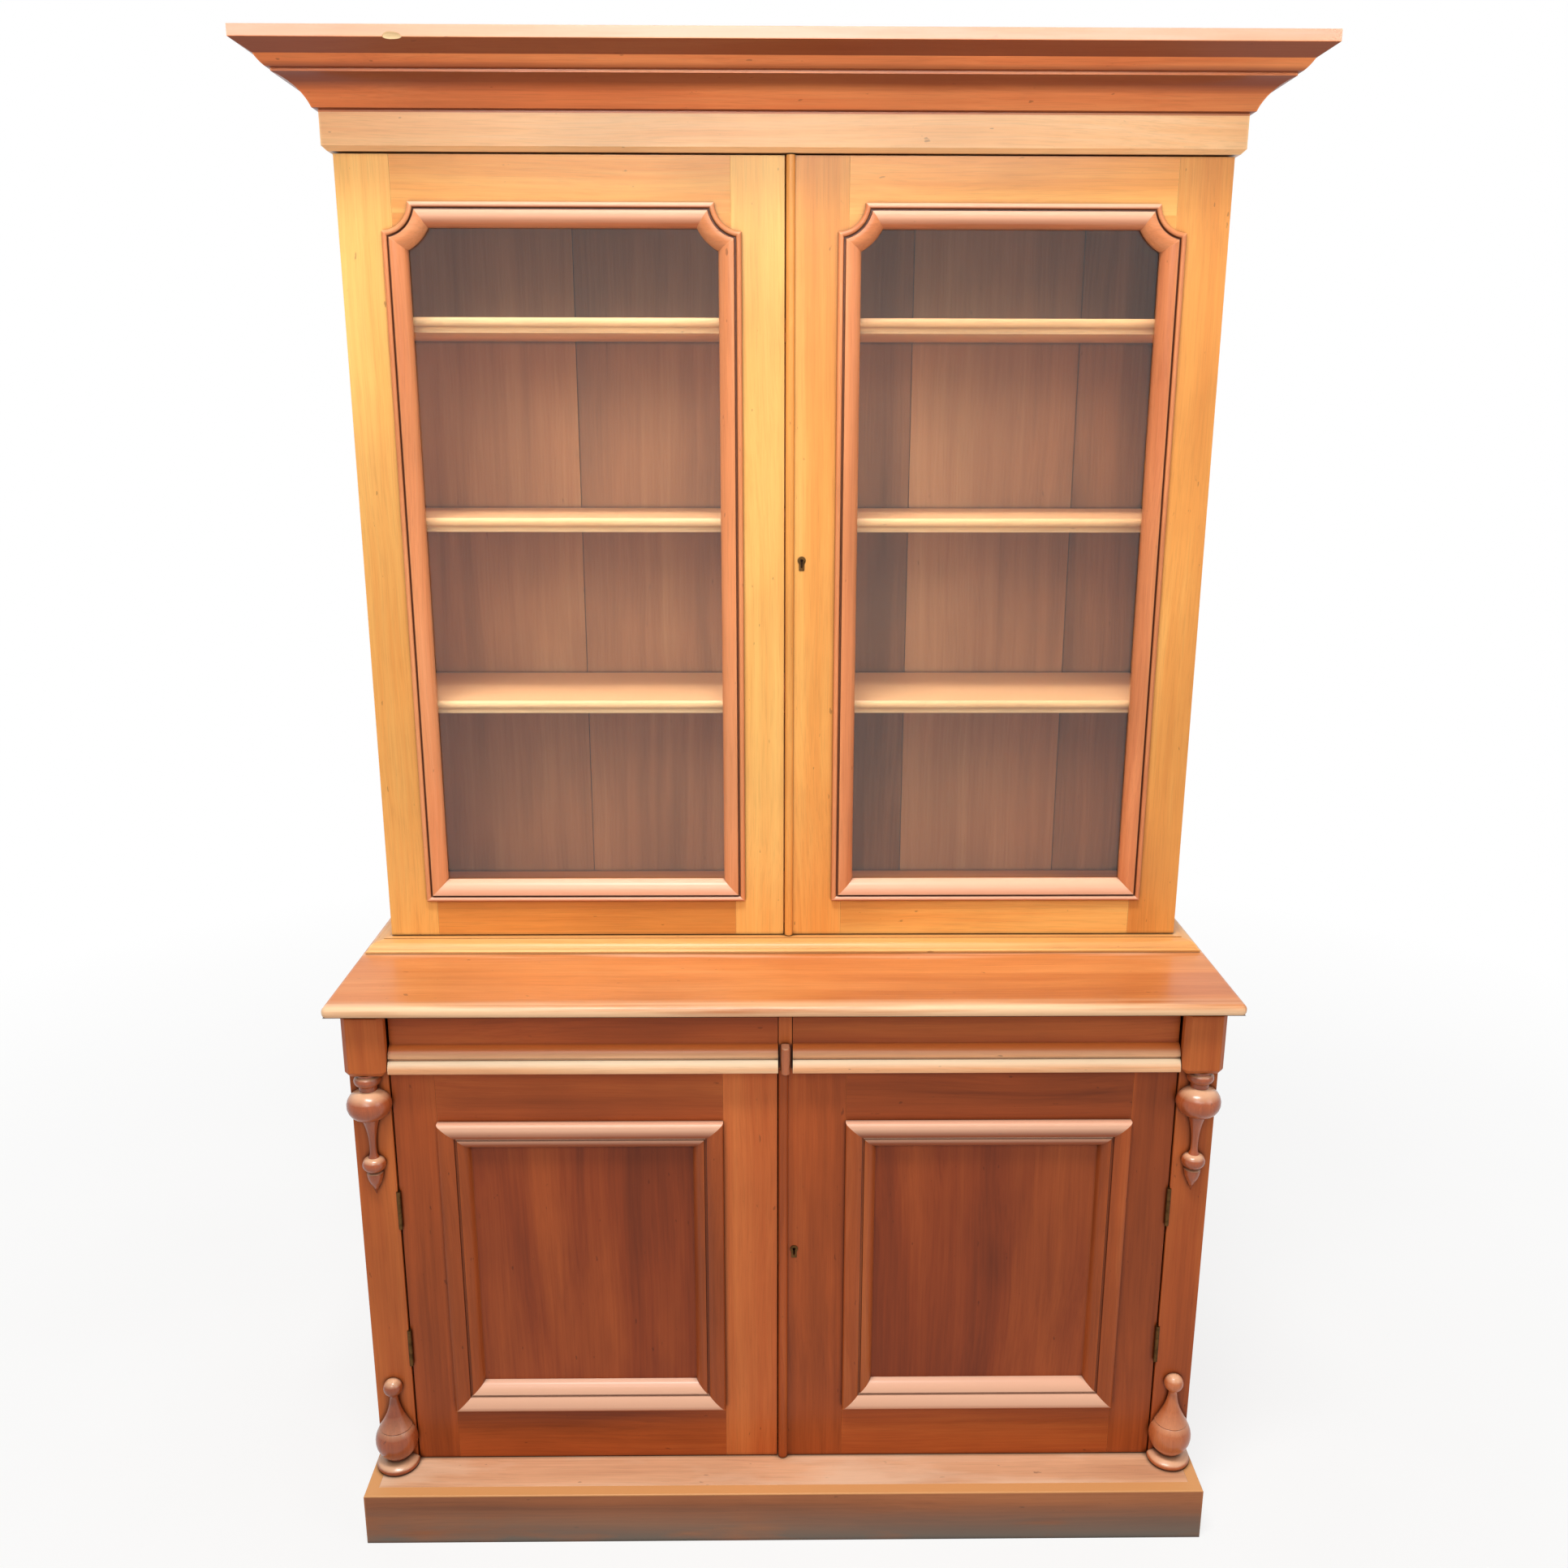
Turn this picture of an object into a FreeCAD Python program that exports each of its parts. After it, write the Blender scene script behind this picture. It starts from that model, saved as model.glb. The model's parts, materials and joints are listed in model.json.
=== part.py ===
import FreeCAD, Part
import math
import os
import Sketcher
from FreeCAD import Placement, Rotation, Vector

# A mahogany library bookcase in two stages, in millimetres. X runs to the right, Y to the back and
# Z up. The origin is on the floor, under the middle of the whole piece, and the doors face -Y.

# Driving sizes
SIZES = {
    # the whole piece
    "depth": 576,
    "back_thick": 10,
    "back_pitch": 275.5,
    "back_first_seam": 339,
    "back_joint": 0.6,
    # plinth
    "plinth_wide": 1318,
    "plinth_high": 88,
    "plinth_thick": 19,
    "plinth_top_thick": 16,
    "glue_block": 42,
    # lower carcase
    "plinth_step": 78,
    "lower_wide": 1300,
    "lower_high": 793,
    "side_thick": 22,
    "floor_thick": 20,
    "pilaster_wide": 58,
    "block_wide": 62,
    "block_proud": 27,
    "block_chamfer": 8,
    "drawer_zone_high": 103,
    "rail_deep": 70,
    "rail_thick": 20,
    "divider_thick": 20,
    "nose_wide": 14,
    "nose_proud": 23,
    "nose_high": 43,
    "nose_round": 3,
    "cupboard_shelf_up": 340,
    "cupboard_shelf_thick": 18,
    "cupboard_shelf_setback": 22,
    "bearer": 20,
    # split turnings on the pilasters
    "turning_radius": 33.5,
    "turning_proud": 5,
    "turning_outset": 1,
    "pendant_long": 203,
    "finial_long": 157,
    # lower doors
    "lower_door_setback": 5,
    "door_thick": 26,
    "door_gap": 1.7,
    "door_clear": 1.5,
    "lower_meeting": 11,
    "lower_stile": 65,
    "lower_left_meeting_stile": 82,
    "lower_right_meeting_stile": 102,
    "lower_top_rail": 86,
    "lower_bottom_rail": 93.5,
    "panel_thick": 8,
    "panel_setback": 8,
    "panel_groove": 8,
    "panel_play": 1,
    "panel_moulding_wide": 47,
    "lower_bead_wide": 15,
    "bead_proud": 7,
    # lower top board
    "board_thick": 18,
    "board_overhang": 19.5,
    "board_top_round": 8,
    "board_foot_round": 6,
    # drawers
    "drawer_clear": 1,
    "drawer_front_thick": 22,
    "drawer_deep": 440,
    "drawer_side": 12,
    "drawer_bottom": 6,
    "drawer_bottom_up": 8,
    "drawer_box_inset": 2,
    "drawer_box_down": 14,
    "drawer_lift": 0.3,
    "pull_high": 42,
    # waist moulding
    "waist_high": 18.5,
    "waist_proud": 34,
    # upper carcase
    "upper_wide": 1254,
    "upper_setback": 193.6,
    "upper_side_thick": 20,
    "upper_floor_up": 9,
    "upper_floor_thick": 20,
    "upper_top_up": 6,
    "upper_top_thick": 20,
    "carcase_gap": 0.6,
    # shelves
    "shelf_thick": 21,
    "shelf_setback": 19,
    "shelf_play": 1,
    "shelf_low_up": 373.5,
    "shelf_mid_up": 654.5,
    "shelf_high_up": 942.5,
    "peg_radius": 4,
    "peg_long": 22,
    "peg_sunk": 12,
    "peg_inset": 45,
    # upper doors
    "upper_door_high": 1153,
    "upper_margin": 61,
    "upper_top_margin": 62,
    "upper_bottom_margin": 58,
    "upper_bead_wide": 13,
    "glazing_wide": 33,
    "glazing_lap": 15,
    "glazing_lip": 10,
    "scoop_radius": 38,
    "glass_thick": 3,
    "glass_play": 1,
    # frieze and cornice
    "frieze_gap": 2,
    "frieze_high": 48,
    "frieze_proud": 12,
    "frieze_chamfer": 6,
    "cornice_high": 88,
    "cornice_proud": 85,
    "cornice_rebate_wide": 42,
    "dust_board_thick": 8,
    "dust_board_play": 0.5,
    # butt hinges
    "hinge_high": 64,
    "knuckle_radius": 3.4,
    "knuckle_clear": 0.3,
    "knuckle_end": 21,
    "hinge_seat": 0.4,
    "leaf_wide": 14,
    "leaf_thick": 1.6,
    "leaf_clear": 0.1,
    "pin_radius": 1.6,
    "pin_clear": 0.08,
    "upper_hinge_inset": 150,
    "lower_hinge_low": 210,
    "lower_hinge_high": 455,
    # locks
    "lock_wide": 45,
    "lock_high": 50,
    "lock_thick": 12,
    "lock_bolt_long": 30,
    "lock_bolt_high": 14,
    "lock_bolt_thick": 5,
    "lock_bolt_back": 0.4,
    "slide_clear": 0.15,
    "mortise_deep": 10,
    "mortise_clear": 1,
    "keyhole_inset": 24.5,
    "keyhole_radius": 2.4,
    "keyhole_slot": 2.6,
    "keyhole_long": 11,
    "escutcheon_radius": 6,
    "escutcheon_wide": 8,
    "escutcheon_long": 15,
    "escutcheon_thick": 1,
    "upper_keyhole_up": 594,
    "lower_keyhole_up": 382,
    # flush bolts of the left doors
    "bolt_side": 7,
    "bolt_long": 66,
    "bolt_case_wide": 18,
    "bolt_case_thick": 10,
    "bolt_case_high": 54,
    "bolt_case_down": 14,
    "bolt_rest_down": 9,
    "bolt_travel": 18,
    "bolt_knob_high": 6,
    "bolt_knob_proud": 5,
    "bolt_inset": 24,
    "bolt_hole_deep": 13,
    "bolt_hole_clear": 1,
    # one overrun for every cut
    "overrun": 2,
}

doc = FreeCAD.newDocument("LibraryBookcase")
sheet = doc.addObject("Spreadsheet::Sheet", "Sizes")
for row, (name, value) in enumerate(SIZES.items(), start=1):
    sheet.set("A%d" % row, name)
    sheet.set("B%d" % row, str(value))
    sheet.setAlias("B%d" % row, name)
doc.recompute()


class Size:
    """A length with its value and the sheet expression that gives it."""

    def __init__(self, value, text):
        self.value = float(value)
        self.text = text

    @staticmethod
    def of(other):
        return other if isinstance(other, Size) else Size(other, "(%r)" % float(other))

    def __add__(self, other):
        other = Size.of(other)
        return Size(self.value + other.value, "(%s + %s)" % (self.text, other.text))

    def __sub__(self, other):
        other = Size.of(other)
        return Size(self.value - other.value, "(%s - %s)" % (self.text, other.text))

    def __mul__(self, other):
        other = Size.of(other)
        return Size(self.value * other.value, "(%s * %s)" % (self.text, other.text))

    def __truediv__(self, other):
        other = Size.of(other)
        return Size(self.value / other.value, "(%s / %s)" % (self.text, other.text))

    def __radd__(self, other):
        return Size.of(other) + self

    def __rsub__(self, other):
        return Size.of(other) - self

    def __rmul__(self, other):
        return Size.of(other) * self

    def __neg__(self):
        return self * -1

    def __float__(self):
        return self.value

    def root(self):
        return Size(math.sqrt(self.value), "sqrt(%s)" % self.text)


class Sizes:
    """The sheet's sizes by name, each read back from its cell."""

    def __getattr__(self, name):
        return Size(sheet.get(name), "Sizes." + name)


s = Sizes()
ZERO = Size(0, "0")
SIDES = (("left", -1), ("right", 1))


# Helpers for single features

def bind(feature, prop, size):
    """Set a property to a size and keep it tied to the sheet."""
    feature.setExpression(prop, Size.of(size).text)


def place(feature, x, y, z, turn=None):
    """Put a feature at a point, turned about an axis first when turn gives (axis, degrees)."""
    rotation = Rotation(Vector(*turn[0]), turn[1]) if turn else Rotation()
    point = [Size.of(value) for value in (x, y, z)]
    feature.Placement = Placement(Vector(*[value.value for value in point]), rotation)
    for axis, value in zip("xyz", point):
        bind(feature, "Placement.Base." + axis, value)
    return feature


def board(name, x, y, z, wide, deep, high):
    """A squared board: its lowest corner, then its extent along X, Y and Z."""
    box = doc.addObject("Part::Box", name)
    for prop, size in (("Length", wide), ("Width", deep), ("Height", high)):
        bind(box, prop, size)
    return place(box, x, y, z)


def between(name, x0, x1, y0, y1, z0, z1):
    """A squared board between two planes on each axis."""
    return board(name, x0, y0, z0, x1 - x0, y1 - y0, z1 - z0)


def beside(name, sign, near, far, y0, y1, z0, z1):
    """A board on the left (-1) or right (1), near and far being its distances from the middle."""
    low, high = (near, far) if sign > 0 else (-far, -near)
    return between(name, low, high, y0, y1, z0, z1)


def rod(name, radius, high, x, y, z, turn=None):
    """A cylinder along Z, or along another axis after the turn."""
    cylinder = doc.addObject("Part::Cylinder", name)
    bind(cylinder, "Radius", radius)
    bind(cylinder, "Height", high)
    return place(cylinder, x, y, z, turn)


def group(name, parts):
    """Several separate solids kept as one sub-part."""
    compound = doc.addObject("Part::Compound", name)
    compound.Links = parts
    return compound


def joined(name, parts):
    """Several shapes fused into one solid."""
    fuse = doc.addObject("Part::MultiFuse", name)
    fuse.Shapes = parts
    return fuse


def cut(name, base, tools):
    """A shape less its tools."""
    result = doc.addObject("Part::Cut", name)
    result.Base = base
    result.Tool = tools[0] if len(tools) == 1 else group(name + "_tools", tools)
    return result


def copy_of(master, name, x, y, z, turn=None):
    """Another of the same piece at its own place."""
    link = doc.addObject("App::Link", name)
    link.LinkedObject = master
    link.LinkTransform = True
    return place(link, x, y, z, turn)


def plane(body, role):
    return [feature for feature in body.Origin.OriginFeatures if feature.Role == role][0]


def outline(body, name, role, points, flip=1):
    """A closed sketch on a plane of its body. A point is (x, y), or (x, y, bulge) where the
    stretch that ends there is an arc: its rise over half its chord, outward when positive on an
    outline that runs anticlockwise. flip -1 turns the outline over in x."""
    sketch = body.newObject("Sketcher::SketchObject", name)
    sketch.AttachmentSupport = (plane(body, role), [""])
    sketch.MapMode = "FlatFace"
    spots = [(Size.of(point[0]) * flip, Size.of(point[1])) for point in points]
    held = []
    ends = []
    for index, point in enumerate(points):
        (x0, y0), (x1, y1) = spots[index - 1], spots[index]
        start = Vector(x0.value, y0.value, 0)
        end = Vector(x1.value, y1.value, 0)
        if len(point) > 2:
            bulge = point[2] * flip
            rise = Vector(end.y - start.y, start.x - end.x, 0) * (bulge / 2)
            sketch.addGeometry(Part.Arc(start, (start + end) / 2 + rise, end), False)
            share = (1 - bulge * bulge) / (4 * bulge)
            # an arc's centre is held along the axis that its chord crosses most
            if abs(end.y - start.y) > abs(end.x - start.x):
                held.append(("DistanceX", index, 3, (x0 + x1) / 2 - (y1 - y0) * share))
            else:
                held.append(("DistanceY", index, 3, (y0 + y1) / 2 + (x1 - x0) * share))
        else:
            sketch.addGeometry(Part.LineSegment(start, end), False)
        # the sketcher keeps an arc anticlockwise, so its last point may be where the stretch starts
        last = 2 if sketch.getPoint(index, 2).isEqual(end, s.overrun.value / 100) else 1
        held.append(("DistanceX", index, last, x1))
        held.append(("DistanceY", index, last, y1))
        ends.append(last)
    for index in range(len(points)):
        before = index - 1 if index else len(points) - 1
        sketch.addConstraint(Sketcher.Constraint("Coincident", before, ends[before], index, 3 - ends[index]))
    for kind, index, spot, size in held:
        made = sketch.addConstraint(Sketcher.Constraint(kind, -1, 1, index, spot, size.value))
        sketch.setExpression("Constraints[%d]" % made, size.text)
    return sketch


def pad(body, sketch, length):
    feature = body.newObject("PartDesign::Pad", body.Name + "_pad")
    feature.Profile = sketch
    bind(feature, "Length", length)
    return feature


def pocket(body, sketch):
    """A cut right through, both ways from the sketch."""
    feature = body.newObject("PartDesign::Pocket", body.Name + "_pocket")
    feature.Profile = sketch
    feature.Type = "ThroughAll"
    feature.SideType = "Symmetric"
    return feature


def rounded(body, kind, prop, size, wanted):
    """A fillet or chamfer on the edges of the last feature that the test picks."""
    doc.recompute()
    base = body.Tip
    names = ["Edge%d" % (index + 1) for index, edge in enumerate(base.Shape.Edges) if wanted(edge.BoundBox)]
    feature = body.newObject("PartDesign::" + kind, body.Name + "_" + kind.lower())
    feature.Base = (base, names)
    bind(feature, prop, size)
    return feature


def flat(low, high):
    """True where two limits of a box are the same plane."""
    return abs(low - high) < 1e-6


# Mouldings

def scoop(across):
    """How far along a run the joint with a scooped corner lies, at a distance in from its edge."""
    return (s.scoop_radius * s.scoop_radius + 2 * s.scoop_radius * across).root()


def scoop_line():
    """The joint between a straight length and a scooped corner, as (along, across) points."""
    steps = (ZERO, s.glazing_lap / 2, s.glazing_lap, (s.glazing_lap + s.glazing_wide) / 2, s.glazing_wide)
    return [(scoop(across), across) for across in steps]


def joint_line(kind, low, high):
    """The joint at the start of a run, as (along, across) points."""
    over = s.overrun
    if kind == "scoop":
        line = scoop_line()
        return [(line[0][0], low - over)] + line + [(line[-1][0], high + over)]
    slope = 1 if kind == "in" else -1
    return [((low - over) * slope, low - over), ((high + over) * slope, high + over)]


def run(name, length, profile, joints, across="up"):
    """A run of moulding along X. The profile's points are (out, up, bulge), out being towards -Y.
    joints names the start and the end: square, in (a frame's inside mitre, which moves with up),
    out (an outside mitre, which moves with out) or scoop (against a scooped corner piece)."""
    body = doc.addObject("PartDesign::Body", name)
    sketch = outline(body, name + "_profile", "YZ_Plane", profile, flip=-1)
    which = 1 if across == "up" else 0
    ordered = sorted([Size.of(point[which]) for point in profile], key=float)
    low, high = ordered[0], ordered[-1]
    before = high if joints[0] == "out" else ZERO
    after = high if joints[1] == "out" else ZERO
    bind(sketch, "AttachmentOffset.Base.z", -before)
    pad(body, sketch, before + length + after)
    far = high + s.overrun * 2
    role = "XZ_Plane" if across == "up" else "XY_Plane"
    turn = 1 if across == "up" else -1
    for place_name, kind, start, way in (("start", joints[0], ZERO, 1), ("end", joints[1], length, -1)):
        if kind == "square":
            continue
        line = joint_line(kind, low, high)
        waste = [(-far, line[0][1])] + line + [(-far, line[-1][1])]
        points = [(start + along * way, up * turn) for along, up in waste]
        pocket(body, outline(body, "%s_%s" % (name, place_name), role, points))
    return body


def wrapped(name, out_wide, front_y, z, profile, extra=()):
    """A moulding round the front and both ends: three runs, mitred at the front corners."""
    half = out_wide / 2
    ends = BACK - front_y
    front = place(run(name + "_front", out_wide, profile, ("out", "out"), "out"), -half, front_y, z)
    left = run(name + "_left", ends, profile, ("square", "out"), "out")
    right = run(name + "_right", ends, profile, ("out", "square"), "out")
    place(left, -half, BACK, z, ((0, 0, 1), -90))
    place(right, half, front_y, z, ((0, 0, 1), 90))
    return group(name, [front, left, right] + list(extra))


def turned(name, profile, back):
    """A turning about Z with its back planed flat at a distance behind the axis."""
    body = doc.addObject("PartDesign::Body", name)
    sketch = outline(body, name + "_profile", "XZ_Plane", profile)
    spin = body.newObject("PartDesign::Revolution", name + "_turning")
    spin.Profile = sketch
    spin.ReferenceAxis = (sketch, ["V_Axis"])
    spin.Angle = 360
    wide = s.turning_radius + s.overrun
    behind = [(-wide, back), (wide, back), (wide, wide + back), (-wide, wide + back)]
    pocket(body, outline(body, name + "_back", "XY_Plane", behind))
    return body


# Planes that several pieces share

FRONT = -s.depth / 2
BACK = s.depth / 2
INSIDE_BACK = BACK - s.back_thick
PILASTER_FACE = FRONT + s.plinth_step
LOWER_DOOR_FACE = PILASTER_FACE + s.lower_door_setback
LOWER_DOOR_BACK = LOWER_DOOR_FACE + s.door_thick
LOWER_FRONT = LOWER_DOOR_BACK + s.carcase_gap
UPPER_DOOR_FACE = PILASTER_FACE + s.upper_setback
UPPER_DOOR_BACK = UPPER_DOOR_FACE + s.door_thick
UPPER_FRONT = UPPER_DOOR_BACK + s.carcase_gap

PLINTH_TOP = s.plinth_high
LOWER_TOP = PLINTH_TOP + s.lower_high
DRAWER_FOOT = LOWER_TOP - s.drawer_zone_high
BOARD_TOP = LOWER_TOP + s.board_thick
WAIST_TOP = BOARD_TOP + s.waist_high
UPPER_DOOR_FOOT = WAIST_TOP + s.door_clear
UPPER_DOOR_TOP = UPPER_DOOR_FOOT + s.upper_door_high
FRIEZE_FOOT = UPPER_DOOR_TOP + s.frieze_gap
CORNICE_FOOT = FRIEZE_FOOT + s.frieze_high
CARCASE_TOP = CORNICE_FOOT + s.cornice_high - s.dust_board_thick
UPPER_CEILING = FRIEZE_FOOT + s.upper_top_up
LOWER_DOOR_FOOT = PLINTH_TOP + s.door_clear
LOWER_DOOR_TOP = DRAWER_FOOT - s.door_clear

LOWER_HALF = s.lower_wide / 2
UPPER_HALF = s.upper_wide / 2
LOWER_INSIDE = LOWER_HALF - s.side_thick
UPPER_INSIDE = UPPER_HALF - s.upper_side_thick
PILASTER_INSIDE = LOWER_HALF - s.pilaster_wide
BLOCK_INSIDE = LOWER_HALF - s.block_wide

nodes = []


def node(feature):
    """Mark a feature as a sub-part that is written out."""
    nodes.append(feature)
    return feature


# Butt hinges: masters at the origin, the pin along Z, the leaves towards X, the fixed leaf on the
# +Y side of the joint and the moving leaf on the -Y side

def hinge_leaf(name, way, knuckles, bore):
    """One leaf with its knuckles, way being 1 for the fixed leaf and -1 for the moving one."""
    start = s.knuckle_radius + s.knuckle_clear
    half = s.hinge_high / 2
    low = s.leaf_clear if way > 0 else -s.leaf_clear - s.leaf_thick
    parts = [board(name + "_plate", start, low, -half, s.leaf_wide, s.leaf_thick, s.hinge_high)]
    for index, (foot, high) in enumerate(knuckles):
        label = "%s_knuckle_%d" % (name, index + 1)
        parts.append(rod(label, s.knuckle_radius, high, ZERO, ZERO, foot))
        parts.append(board(label + "_tab", ZERO, low, foot, start + s.overrun, s.leaf_thick, high))
    drill = rod(name + "_drill", bore, s.hinge_high + s.overrun * 2, ZERO, ZERO, -half - s.overrun)
    return cut(name, joined(name + "_blank", parts), [drill])


half_hinge = s.hinge_high / 2
middle_high = s.hinge_high - 2 * s.knuckle_end - 2 * s.knuckle_clear
fixed_leaf = hinge_leaf("fixed_leaf", 1,
                        [(-half_hinge, s.knuckle_end), (half_hinge - s.knuckle_end, s.knuckle_end)],
                        s.pin_radius)
moving_leaf = hinge_leaf("moving_leaf", -1, [(-middle_high / 2, middle_high)], s.pin_radius + s.pin_clear)
hinge_pin = rod("hinge_pin", s.pin_radius, s.hinge_high, ZERO, ZERO, -half_hinge)

leaf_depth = s.leaf_clear + s.leaf_thick
recess_from = s.knuckle_radius
recess_wide = s.knuckle_clear + s.leaf_wide
fixed_recess = board("fixed_recess", recess_from, ZERO, -half_hinge, recess_wide, leaf_depth, s.hinge_high)
moving_recess = board("moving_recess", recess_from, -leaf_depth, -half_hinge, recess_wide, leaf_depth,
                      s.hinge_high)
knuckle_room = s.knuckle_radius + s.knuckle_clear
knuckle_notch = board("knuckle_notch", -knuckle_room, ZERO, -half_hinge - s.knuckle_clear,
                      knuckle_room * 2, knuckle_room, s.hinge_high + s.knuckle_clear * 2)

# The hinge line of each door, as its distance from the middle, its y and the heights of its hinges
UPPER_PIVOT_X = UPPER_HALF + s.knuckle_radius + s.hinge_seat
UPPER_PIVOT_Y = UPPER_DOOR_BACK + s.carcase_gap / 2
LOWER_PIVOT_X = PILASTER_INSIDE - s.door_gap / 2
LOWER_PIVOT_Y = LOWER_DOOR_FACE - s.knuckle_radius - s.hinge_seat
UPPER_HINGES = [UPPER_DOOR_FOOT + s.upper_hinge_inset,
                (UPPER_DOOR_FOOT + UPPER_DOOR_TOP) / 2,
                UPPER_DOOR_TOP - s.upper_hinge_inset]
LOWER_HINGES = [PLINTH_TOP + s.lower_hinge_low, PLINTH_TOP + s.lower_hinge_high]


def hinge_turn(stage, sign):
    """The turn that brings a hinge master to its door: about Z to face the joint, and over for the
    right-hand doors."""
    base = Rotation(Vector(0, 0, 1), 90) if stage == "lower" else Rotation()
    over = Rotation(Vector(0, 1, 0), 180) if sign > 0 else Rotation()
    turn = over.multiply(base)
    return (tuple(turn.Axis), math.degrees(turn.Angle))


def at_hinges(master, stage, side, sign):
    """A copy of a hinge master at every hinge of one door."""
    distance, y = (UPPER_PIVOT_X, UPPER_PIVOT_Y) if stage == "upper" else (LOWER_PIVOT_X, LOWER_PIVOT_Y)
    heights = UPPER_HINGES if stage == "upper" else LOWER_HINGES
    return [copy_of(master, "%s_%s_%s_%d" % (stage, side, master.Name, index + 1), distance * sign, y, z,
                    hinge_turn(stage, sign))
            for index, z in enumerate(heights)]


# Plinth: mitred boards, a rail at the back, a flush top and glue blocks in the corners

def make_plinth():
    profile = [(-s.plinth_thick, ZERO), (ZERO, ZERO), (ZERO, s.plinth_high), (-s.plinth_thick, s.plinth_high)]
    inside = s.plinth_wide / 2 - s.plinth_thick
    rail = between("plinth_back_rail", -inside, inside, BACK - s.plinth_thick, BACK, ZERO, s.plinth_high)
    under = s.plinth_high - s.plinth_top_thick
    blocks = []
    for side, sign in SIDES:
        for place_name, y in (("front", FRONT + s.plinth_thick), ("back", BACK - s.plinth_thick - s.glue_block)):
            blocks.append(beside("glue_block_%s_%s" % (place_name, side), sign, inside - s.glue_block, inside,
                                 y, y + s.glue_block, ZERO, under))
    node(wrapped("plinth_frame", s.plinth_wide, FRONT, ZERO, profile, [rail] + blocks))
    node(between("plinth_top_board", -inside, inside, FRONT + s.plinth_thick, BACK - s.plinth_thick,
                 under, s.plinth_high))


# Lower carcase

def back_boards(name, half, foot, top):
    """Wide vertical boards side by side behind a carcase, with a thin joint between them."""
    low = -half
    seam = -s.back_first_seam
    parts = []
    while seam.value < half.value:
        parts.append(between("%s_%d" % (name, len(parts) + 1), low, seam - s.back_joint / 2,
                             INSIDE_BACK, BACK, foot, top))
        low = seam + s.back_joint / 2
        seam = seam + s.back_pitch
    parts.append(between("%s_%d" % (name, len(parts) + 1), low, half, INSIDE_BACK, BACK, foot, top))
    return node(group(name, parts))


def make_lower_carcase():
    sides = [beside("lower_side_" + side, sign, LOWER_INSIDE, LOWER_HALF, LOWER_FRONT, INSIDE_BACK,
                    PLINTH_TOP, LOWER_TOP) for side, sign in SIDES]
    node(group("lower_sides", sides))
    node(between("lower_bottom_board", -LOWER_INSIDE, LOWER_INSIDE, LOWER_FRONT, INSIDE_BACK,
                 PLINTH_TOP, PLINTH_TOP + s.floor_thick))
    back_boards("lower_back_boards", LOWER_HALF, PLINTH_TOP, LOWER_TOP)
    pilasters = []
    for side, sign in SIDES:
        blank = beside("pilaster_blank_" + side, sign, PILASTER_INSIDE, LOWER_HALF, PILASTER_FACE, LOWER_FRONT,
                       PLINTH_TOP, LOWER_TOP)
        tools = at_hinges(fixed_recess, "lower", side, sign) + at_hinges(knuckle_notch, "lower", side, sign)
        pilasters.append(cut("pilaster_" + side, blank, tools))
    node(group("pilasters", pilasters))


def make_corner_blocks():
    """A square block on each pilaster at drawer height, its foot chamfered on three sides."""
    blocks = []
    for side, sign in SIDES:
        body = doc.addObject("PartDesign::Body", "corner_block_" + side)
        plan = [(ZERO, ZERO), (s.block_wide, ZERO), (s.block_wide, s.block_proud), (ZERO, s.block_proud)]
        pad(body, outline(body, body.Name + "_plan", "XY_Plane", plan), s.drawer_zone_high)
        proud = s.block_proud.value
        rounded(body, "Chamfer", "Size", s.block_chamfer,
                lambda box: flat(box.ZMin, 0) and flat(box.ZMax, 0) and not flat(box.YMin, proud))
        low = BLOCK_INSIDE if sign > 0 else -LOWER_HALF
        blocks.append(place(body, low, PILASTER_FACE - s.block_proud, DRAWER_FOOT))
    node(group("corner_blocks", blocks))


# Outlines of the turnings, as shares of the largest radius and of the length
PENDANT_SHARES = [(0, 0), (0.46, 0), (0.46, -0.015), (0.46, -0.093, 0.6), (0.41, -0.101), (0.41, -0.134),
                  (0.52, -0.144), (0.52, -0.36, 0.73), (0.4, -0.37), (0.17, -0.66, -0.1), (0.25, -0.688),
                  (0.25, -0.8, 0.84), (0.37, -0.815), (0.15, -0.93, 0.15), (0, -1)]
FINIAL_SHARES = [(0, 0), (0.93, 0), (0.93, 0.06, 0.48), (0.5, 0.1, 0.08), (0.5, 0.112), (0.77, 0.448, 0.44),
                 (0.74, 0.455), (0.77, 0.466), (0.41, 0.61, -0.03), (0.2, 0.79, -0.08), (0.2, 0.815),
                 (0.25, 0.828), (0.25, 0.985, 0.56), (0, 1, 0.12)]


def outline_of(shares, radius, length):
    return [(radius * point[0], length * point[1]) + tuple(point[2:]) for point in shares]


def make_turnings():
    """Split turnings: a pendant under each corner block, and a finial on the plinth."""
    x = LOWER_HALF - s.pilaster_wide / 2 + s.turning_outset
    y = PILASTER_FACE - s.turning_proud
    for name, shares, length, z in (("pendant", PENDANT_SHARES, s.pendant_long, DRAWER_FOOT),
                                    ("finial", FINIAL_SHARES, s.finial_long, PLINTH_TOP)):
        pieces = []
        for side, sign in SIDES:
            # a pendant's outline runs downwards, so it is drawn from its foot to stay anticlockwise
            points = outline_of(shares, s.turning_radius, length)
            if name == "pendant":
                points = turned_over(points)
            pieces.append(place(turned("%s_%s" % (name, side), points, s.turning_proud), x * sign, y, z))
        node(group(name + "s", pieces))


def turned_over(points):
    """The same outline run the other way round, each bulge moved to the point that now ends it."""
    back = []
    for index in range(len(points) - 1, -1, -1):
        bulge = points[(index + 1) % len(points)][2:]
        back.append(tuple(points[index][:2]) + tuple(bulge))
    return back


# Rails, dust board and guides that carry the drawers

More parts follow.
